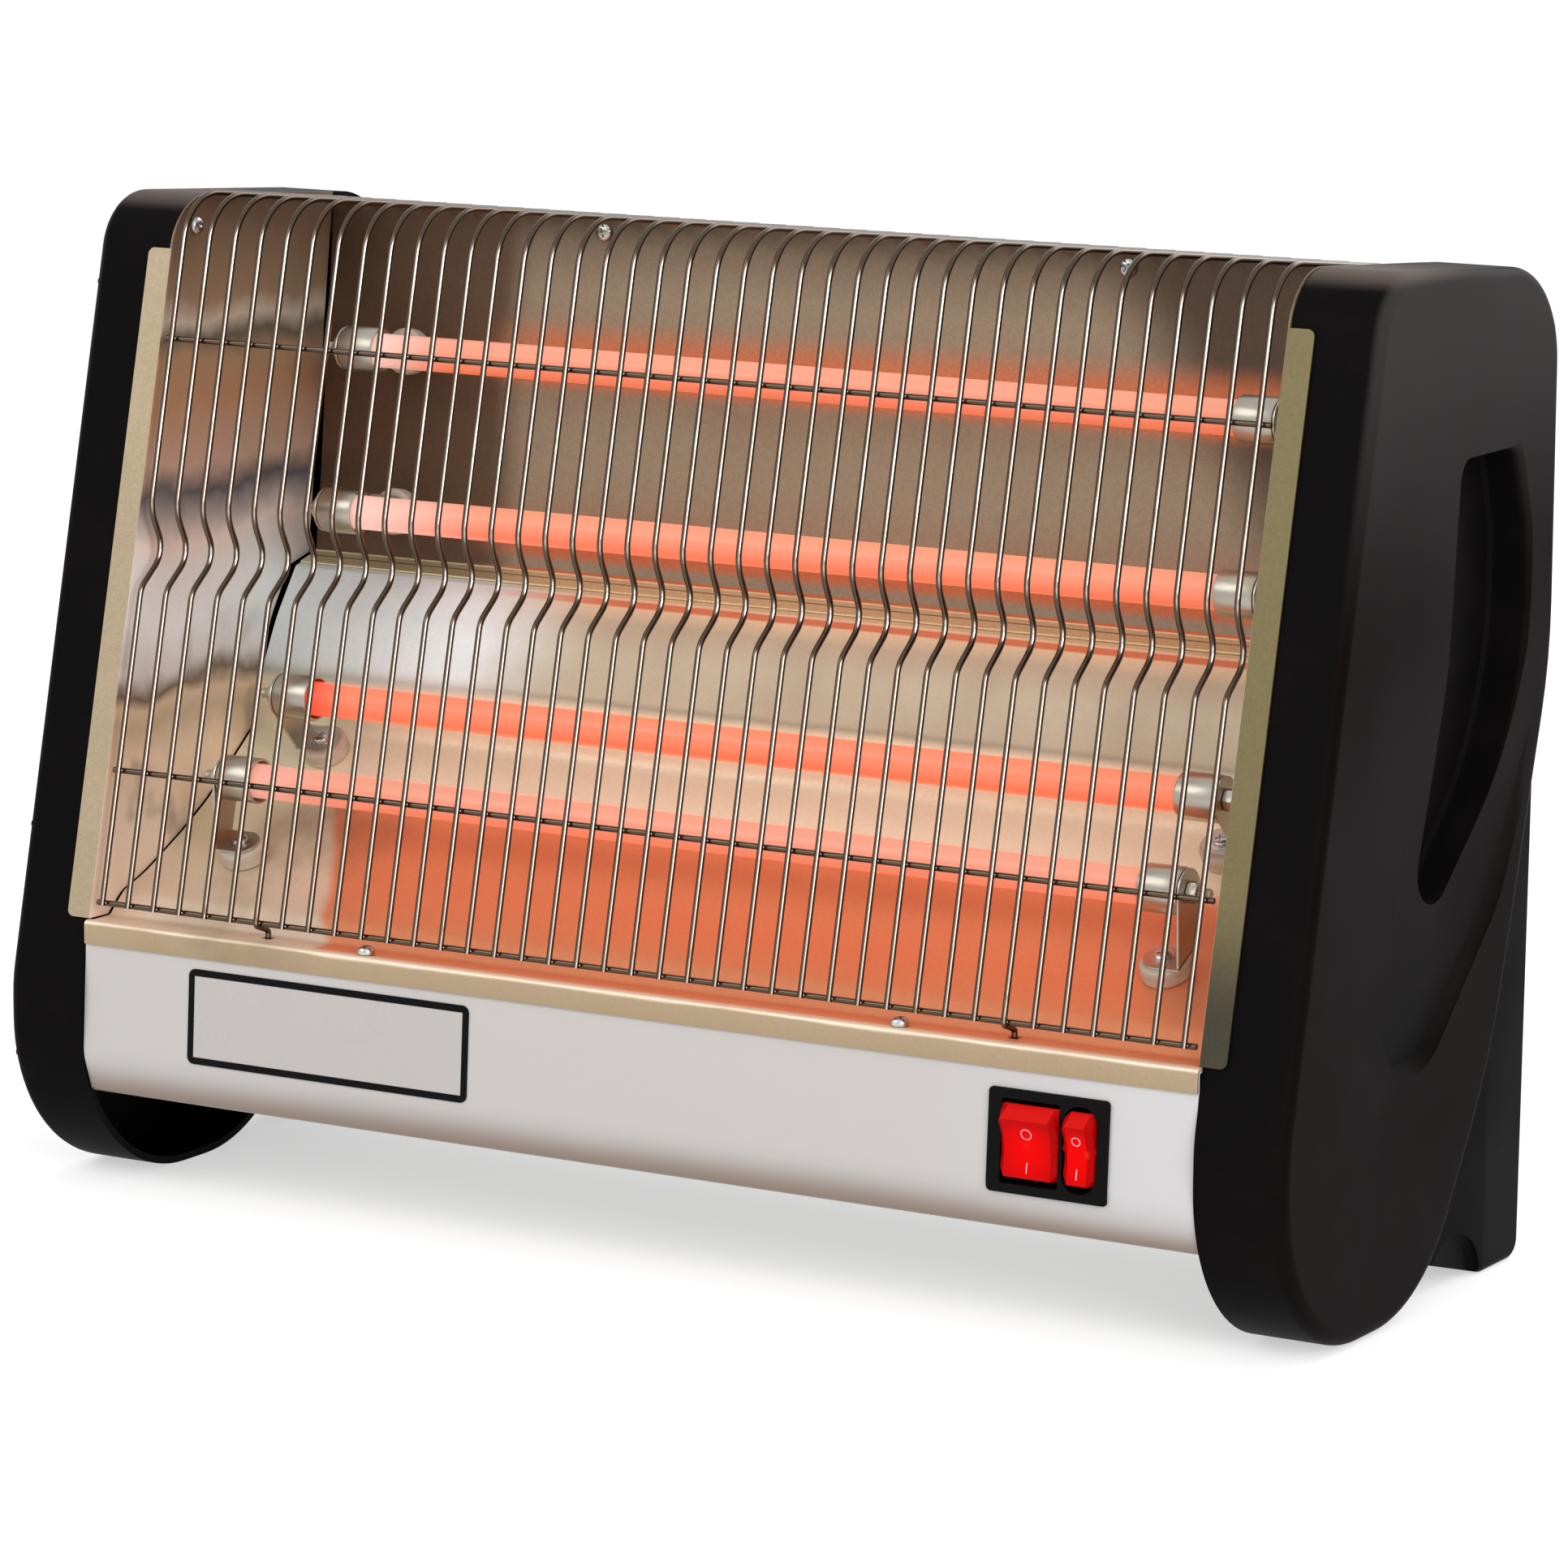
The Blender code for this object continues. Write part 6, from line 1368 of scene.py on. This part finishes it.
fascia = {
    "behindLip": sheets["gauge"] + sheets["gap"],
    "top": (0.012, 0.0016),
    "lipEnd": (0.1040, 0.004),
    "bowY": -0.0015,
    "bowHeight": 0.0585,
    "bowRadius": 0.020,
    "footY": 0.0042,
    "footRadius": 0.0035,
    "base": 0.042,
    "flange": 0.022,
}
switch = {
    "plateX": 0.1914,
    "plateZ": 0.077,
    "plateSize": (0.0512, 0.040),
    "proud": 0.0012,
    "wide": (0.184, 0.024),
    "narrow": (0.205, 0.0126),
    "halfHeight": 0.0146,
    "crown": 0.0040,
    "belly": 0.0027,
    "faceHalf": 0.0104,
    "faceLow": 0.0124,
    "faceTip": 0.0060,
    "facetFoot": (0.0004, 0.0139),
    "faceInset": {"wide": 0.0021, "narrow": 0.0022},
    "faceDrop": 0.0022,
    "lampShare": {"wide": 0.15, "narrow": 0.9},
    "lampAcross": {"wide": 0.0, "narrow": 0.42},
    # ring height and radius, the bar's low and high ends, and the line's width
    "marks": {"wide": (0.0047, 0.0021, -0.0104, -0.0063, 0.00040),
              "narrow": (0.0046, 0.0017, -0.0102, -0.0061, 0.00040)},
    "plateCorner": 0.002,
    "plateEdge": 0.0005,
    "windowPlay": 0.0003,
    "tiltDeg": 7.0,
    "sidePlay": 0.00035,
    "endPlay": 0.0004,
    "ovalPlay": 0.0005,
    "pivot": 0.0015,
    "wall": 0.0008,
}


def fasciaPath():
    behind = fascia["behindLip"]
    topY, topRadius = fascia["top"]
    return roundCorners([
        (topY, trayHeight - behind, 0),
        (behind, trayHeight - behind, topRadius),
        (behind, *fascia["lipEnd"]),
        (fascia["bowY"], fascia["bowHeight"], fascia["bowRadius"]),
        (fascia["footY"], fascia["base"], fascia["footRadius"]),
        (fascia["footY"] + fascia["flange"], fascia["base"], 0),
    ], closed=False, stepDeg=2.5)


def fasciaFace():
    # the part of the path that shows from the front
    return [point for point in fasciaPath() if point.x < fascia["footY"] + 0.0003]


def fasciaFront(height):
    path = fasciaFace()
    for start, end in zip(path, path[1:]):
        if end.y <= height <= start.y and end.y < start.y:
            return start.x + (end.x - start.x) * (start.y - height) / (start.y - end.y)
    return path[-1].x


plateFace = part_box("switch_plate")[0].y - lipY
rockerTip = switch["crown"] + switch["halfHeight"] * math.tan(math.radians(switch["tiltDeg"]))
rockerRadius = math.hypot(rockerTip, switch["halfHeight"])
windowHalf = rockerRadius + switch["endPlay"]
pivotY = plateFace + switch["crown"] * math.cos(math.radians(switch["tiltDeg"]))


def makeFascia():
    strip = slab(sheetOutline(fasciaPath(), sheets["gauge"]), "X", -shellHalf, shellHalf)
    around = switch["wall"] + switch["windowPlay"]
    low = switch["wide"][0] - switch["wide"][1] / 2 - switch["sidePlay"] - around
    high = switch["narrow"][0] + switch["narrow"][1] / 2 + switch["sidePlay"] + around
    reach = windowHalf + around
    z = switch["plateZ"]
    corners = [(low, z - reach), (high, z - reach), (high, z + reach), (low, z + reach)]
    window = slab(corners, "Y", plateFace, fascia["top"][0])
    newPiece("fascia_strip", carve(strip, window), fasciaEnamel, "front_fascia")


label = {
    "left": -0.201,
    "right": -0.067,
    "low": 0.0610,
    "high": 0.0995,
    "corner": 0.0030,
    "frame": 0.0028,
    "lift": 0.0001,
    "frameLift": 0.0005,
    "blankLift": 0.00035,
    "lap": 0.0001,
}


def makeLabel():
    path = fasciaFace()

    def film(lift):
        outline = shifted(path, -label["lift"]) + list(reversed(shifted(path, -lift)))
        return slab(outline, "X", label["left"] - 0.01, label["right"] + 0.01)

    def border(inset):
        radius = label["corner"]
        return roundCorners([(label["left"], label["low"], radius), (label["right"], label["low"], radius),
                             (label["right"], label["high"], radius), (label["left"], label["high"], radius)],
                            inset, stepDeg=10)

    ring = carve(slab(border(0), "Y", -0.02, 0.02), slab(border(label["frame"]), "Y", -0.03, 0.03))
    newPiece("label_frame", carve(film(label["frameLift"]), ring, "INTERSECT"), platePlastic)
    inner = slab(border(label["frame"] - label["lap"]), "Y", -0.02, 0.02)
    newPiece("label_blank", carve(film(label["blankLift"]), inner, "INTERSECT"), labelFilm)


def rockerWindow(name, play):
    x, width = switch[name]
    reach = width / 2 + switch["sidePlay"] + play
    corner = 0.0010 if name == "wide" else reach - 0.0003
    z = switch["plateZ"]
    half = windowHalf + play
    return roundCorners([(x - reach, z - half, corner), (x + reach, z - half, corner),
                         (x + reach, z + half, corner), (x - reach, z + half, corner)], stepDeg=8)


def makeSwitchPlate():
    # a plate that follows the fascia's bow, with a softened rim and two windows
    width, height = switch["plateSize"]
    x, z = switch["plateX"], switch["plateZ"]
    low, high = z - height / 2, z + height / 2
    levels = [low + height * k / 20 for k in range(21)]
    back = [Vector((fasciaFront(level) - sheets["gap"], level)) for level in levels]
    front = [point - Vector((switch["proud"], 0)) for point in back]
    plate = slab(front + back[::-1], "X", x - width / 2, x + width / 2)
    left, right, corner = x - width / 2, x + width / 2, switch["plateCorner"]
    corners = [(left, low, corner), (right, low, corner), (right, high, corner), (left, high, corner)]
    plate = carve(plate, slab(roundCorners(corners, 0.0001, stepDeg=10), "Y", -0.02, 0.006), "INTERSECT")
    rim = [e for e in plate.edges if len(e.link_faces) == 2
           and min(f.normal.y for f in e.link_faces) < -0.8 and max(f.normal.y for f in e.link_faces) > -0.3]
    soften(plate, rim, switch["plateEdge"], 3)
    for name, play in (("wide", 0), ("narrow", switch["ovalPlay"])):
        plate = carve(plate, slab(rockerWindow(name, play), "Y", plateFace - 0.004, 0.006))
    newPiece("rocker_plate", plate, platePlastic, "switch_plate", sharpDeg=40, weighted=True)


def rockerFace(height):
    share = min(abs(height) / switch["faceHalf"], 1.0)
    return -switch["crown"] - (switch["faceTip"] - switch["crown"]) * share * share


def makeRocker(name):
    # hollow face, slanted ends and a round belly, drawn level about its pivot and then tipped
    x, width = switch[name]
    belly = switch["belly"]
    footY, footZ = switch["facetFoot"]
    start = math.atan2(footZ, footY)
    foot = math.hypot(footY, footZ)
    end = math.atan2(math.sqrt(foot ** 2 - belly ** 2), belly)

    def section(drop, pull):
        shrink = 1.0 - pull / switch["faceHalf"]
        face = []
        for k in range(13):
            level = (switch["faceLow"] if k < 6 else switch["faceHalf"]) * (-1 + k / 6)
            face.append(Vector((rockerFace(level) + drop, level * shrink)))
        upper = []
        for k in range(9):
            turn = start + (end - start) * k / 8
            upper.append(Vector((foot * math.cos(turn), foot * math.sin(turn))))
        return face + upper + [Vector((p.x, -p.y)) for p in reversed(upper)]

    inset, drop = switch["faceInset"][name], switch["faceDrop"]
    rings = []
    for level, low, pull in ((-width / 2, drop, inset * 0.9), (-width / 2 + inset, 0, 0),
                             (width / 2 - inset, 0, 0), (width / 2, drop, inset * 0.9)):
        rings.append([Vector((level, p.x, p.y)) for p in section(low, pull)])
    rocker = skin(rings)
    if name == "narrow":
        reach = width / 2 - 0.0003
        corners = [(-width / 2, -rockerRadius, reach), (width / 2, -rockerRadius, reach),
                   (width / 2, rockerRadius, reach), (-width / 2, rockerRadius, reach)]
        oval = skin([[Vector((p.x, level, p.y)) for p in roundCorners(corners, stepDeg=8)]
                     for level in (-0.03, 0.03)])
        rocker = carve(rocker, oval, "INTERSECT")
    rim = [e for e in rocker.edges if len(e.link_faces) == 2 and e.calc_face_angle(0) > math.radians(22)
           and all(v.co.y < -0.002 for v in e.verts)]
    soften(rocker, rim, 0.0004, 3)
    pinReach = width / 2 + switch["sidePlay"] + switch["wall"] * 0.75
    pin = switch["pivot"]
    pins = turned([(0, -pinReach), (pin, -pinReach), (pin, pinReach), (0, pinReach)], 24)
    rocker = carve(rocker, aimed(pins, (0, 0, 0), (1, 0, 0)), "UNION")
    turn = Matrix.Rotation(math.radians(switch["tiltDeg"]), 3, "X")
    pivot = place(x, pivotY, switch["plateZ"])
    bmesh.ops.rotate(rocker, cent=(0, 0, 0), matrix=turn, verts=rocker.verts)
    bmesh.ops.translate(rocker, vec=pivot, verts=rocker.verts)
    lamp = pivot + Vector((width * switch["lampAcross"][name], -0.006, -0.001))
    finish = rockerFinish(name + "RockerAcrylic", pivot + Vector((0, -0.006, -0.002)), lamp,
                          switch["lampShare"][name])
    newPiece(name + "_lit_rocker", rocker, finish, name + "_rocker", body=name + "_rocker",
             weighted=True)

    ringHeight, ringRadius, barLow, barHigh, thick = switch["marks"][name]
    ring = bmesh.new()
    verts, edges = drawLoop(ring, [Vector((ringRadius + thick * c, thick * s * 0.5, 0))
                                   for c, s in ((-0.5, -1), (0.5, -1), (0.5, 1), (-0.5, 1))])
    bmesh.ops.spin(ring, geom=verts + edges, cent=(0, 0, 0), axis=(0, 1, 0), angle=math.tau, steps=36,
                   use_merge=True)
    bmesh.ops.recalc_face_normals(ring, faces=ring.faces)
    bar = block((thick, thick, barHigh - barLow))
    for shape, height in ((ring, ringHeight), (bar, (barLow + barHigh) / 2)):
        slope = math.atan2(rockerFace(height + 0.001) - rockerFace(height - 0.001), 0.002)
        bmesh.ops.rotate(shape, cent=(0, 0, 0), matrix=Matrix.Rotation(-slope, 3, "X"), verts=shape.verts)
        bmesh.ops.translate(shape, vec=(0, rockerFace(height) + thick * 0.25, height), verts=shape.verts)
    drawn = gathered([ring, bar])
    bmesh.ops.rotate(drawn, cent=(0, 0, 0), matrix=turn, verts=drawn.verts)
    bmesh.ops.translate(drawn, vec=pivot, verts=drawn.verts)
    newPiece(name + "_rocker_marks", drawn, markPaint, body=name + "_rocker")


makeFascia()
makeLabel()
makeSwitchPlate()
makeRocker("wide")
makeRocker("narrow")
print("fascia and switches fitted")


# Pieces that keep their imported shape

def repaint(material, *names):
    for name in names:
        mesh = nodes[name].data
        mesh.materials.clear()
        mesh.materials.append(material)


plainZinc = {"stops": [(0.0, (0.30, 0.29, 0.28)), (1.0, (0.36, 0.35, 0.34))], "heights": (0.04, 0.05),
             "darkest": 0.75, "rough": (0.35, 0.5), "metal": 1.0}
repaint(coverEnamel, "rear_cover")
repaint(zincFinish("basePlateZinc", plainZinc), "base_plate")
repaint(innerPlastic, "wide_switch_body", "narrow_switch_body", "cord_gland")
repaint(steatite, "terminal_block")
repaint(sleeveFinish(), "wiring_harness")
repaint(coilFinish(), *[f"heating_coil_{number}" for number in range(1, 5)])
print("packed pieces repainted")


# Floor, light and camera

studio = {
    "ambient": 0.62,
    "floor": (0.80, 0.80, 0.80),
    "floorGlow": 0.52,
    "floorHalf": 12.0,
    "aim": (0, 0, 0.2),
    "lamps": (
        {"name": "keySoft", "spot": (-1.3, -1.9, 1.9), "size": (1.8, 1.4), "watts": 18.0},
        {"name": "fillSoft", "spot": (2.2, -1.6, 1.2), "size": (1.4, 1.4), "watts": 28.0},
        {"name": "rearSoft", "spot": (0.6, 2.0, 1.6), "size": (1.6, 1.2), "watts": 16.0},
    ),
}


def seenDirectly(desk):
    path = desk.add("ShaderNodeLightPath").outputs
    seen = desk.most(path["Is Camera Ray"], path["Is Glossy Ray"])
    return desk.most(seen, path["Is Transmission Ray"])


def makeStudio():
    world = bpy.data.worlds.new("studio")
    bpy.context.scene.world = world
    world.use_nodes = True
    tree = world.node_tree
    tree.nodes.clear()
    desk = Desk(tree)
    soft = desk.add("ShaderNodeBackground", Color=white, Strength=studio["ambient"]).outputs[0]
    backdrop = desk.add("ShaderNodeBackground", Color=white, Strength=1.0).outputs[0]
    blend = desk.add("ShaderNodeMixShader", None, (seenDirectly(desk), soft, backdrop))
    desk.add("ShaderNodeOutputWorld", Surface=blend.outputs[0])

    material = bpy.data.materials.new("floorPaper")
    material.use_nodes = True
    tree = material.node_tree
    tree.nodes.clear()
    desk = Desk(tree)
    paper = desk.add("ShaderNodeBsdfDiffuse", Color=studio["floor"]).outputs[0]
    strength = desk.times(seenDirectly(desk), studio["floorGlow"])
    glow = desk.add("ShaderNodeEmission", Color=white, Strength=strength).outputs[0]
    both = desk.add("ShaderNodeAddShader", None, (paper, glow))
    desk.add("ShaderNodeOutputMaterial", Surface=both.outputs[0])
    shape = bmesh.new()
    bmesh.ops.create_grid(shape, x_segments=1, y_segments=1, size=studio["floorHalf"])
    mesh = bpy.data.meshes.new("floor")
    shape.to_mesh(mesh)
    shape.free()
    mesh.materials.append(material)
    linked("floor", mesh)
    for lamp in studio["lamps"]:
        light = bpy.data.lights.new(lamp["name"], "AREA")
        light.shape = "RECTANGLE"
        light.size, light.size_y = lamp["size"]
        light.energy = lamp["watts"]
        holder = linked(lamp["name"], light)
        holder.location = lamp["spot"]
        aim = Vector(studio["aim"]) - Vector(lamp["spot"])
        holder.rotation_euler = aim.to_track_quat("-Z", "Y").to_euler()


view = {
    "spot": (1.3450, -2.1351, 0.6593),
    "azimuthDeg": 30.73,
    "elevationDeg": 10.36,
    "rollDeg": 0.36,
    "lens": 153.84,
    "sensor": 36.0,
    "shiftY": -10.0 / 1932.0,
    "clip": (0.1, 60.0),
}


def makeCamera():
    azimuth, elevation, roll = (math.radians(view[key]) for key in ("azimuthDeg", "elevationDeg", "rollDeg"))
    back = Vector((math.sin(azimuth) * math.cos(elevation), -math.cos(azimuth) * math.cos(elevation),
                   math.sin(elevation)))
    right = Vector((math.cos(azimuth), math.sin(azimuth), 0))
    up = back.cross(right)
    rolledRight = right * math.cos(roll) + up * math.sin(roll)
    rolledUp = up * math.cos(roll) - right * math.sin(roll)
    data = bpy.data.cameras.new("photoView")
    data.lens = view["lens"]
    data.sensor_width = view["sensor"]
    data.shift_y = view["shiftY"]
    data.clip_start, data.clip_end = view["clip"]
    camera = linked("photoView", data)
    turn = Matrix((rolledRight, rolledUp, back)).transposed().to_4x4()
    camera.matrix_world = Matrix.Translation(place(*view["spot"])) @ turn
    bpy.context.scene.camera = camera


makeStudio()
makeCamera()
bpy.context.scene.view_settings.view_transform = "Standard"
print("studio and camera set")
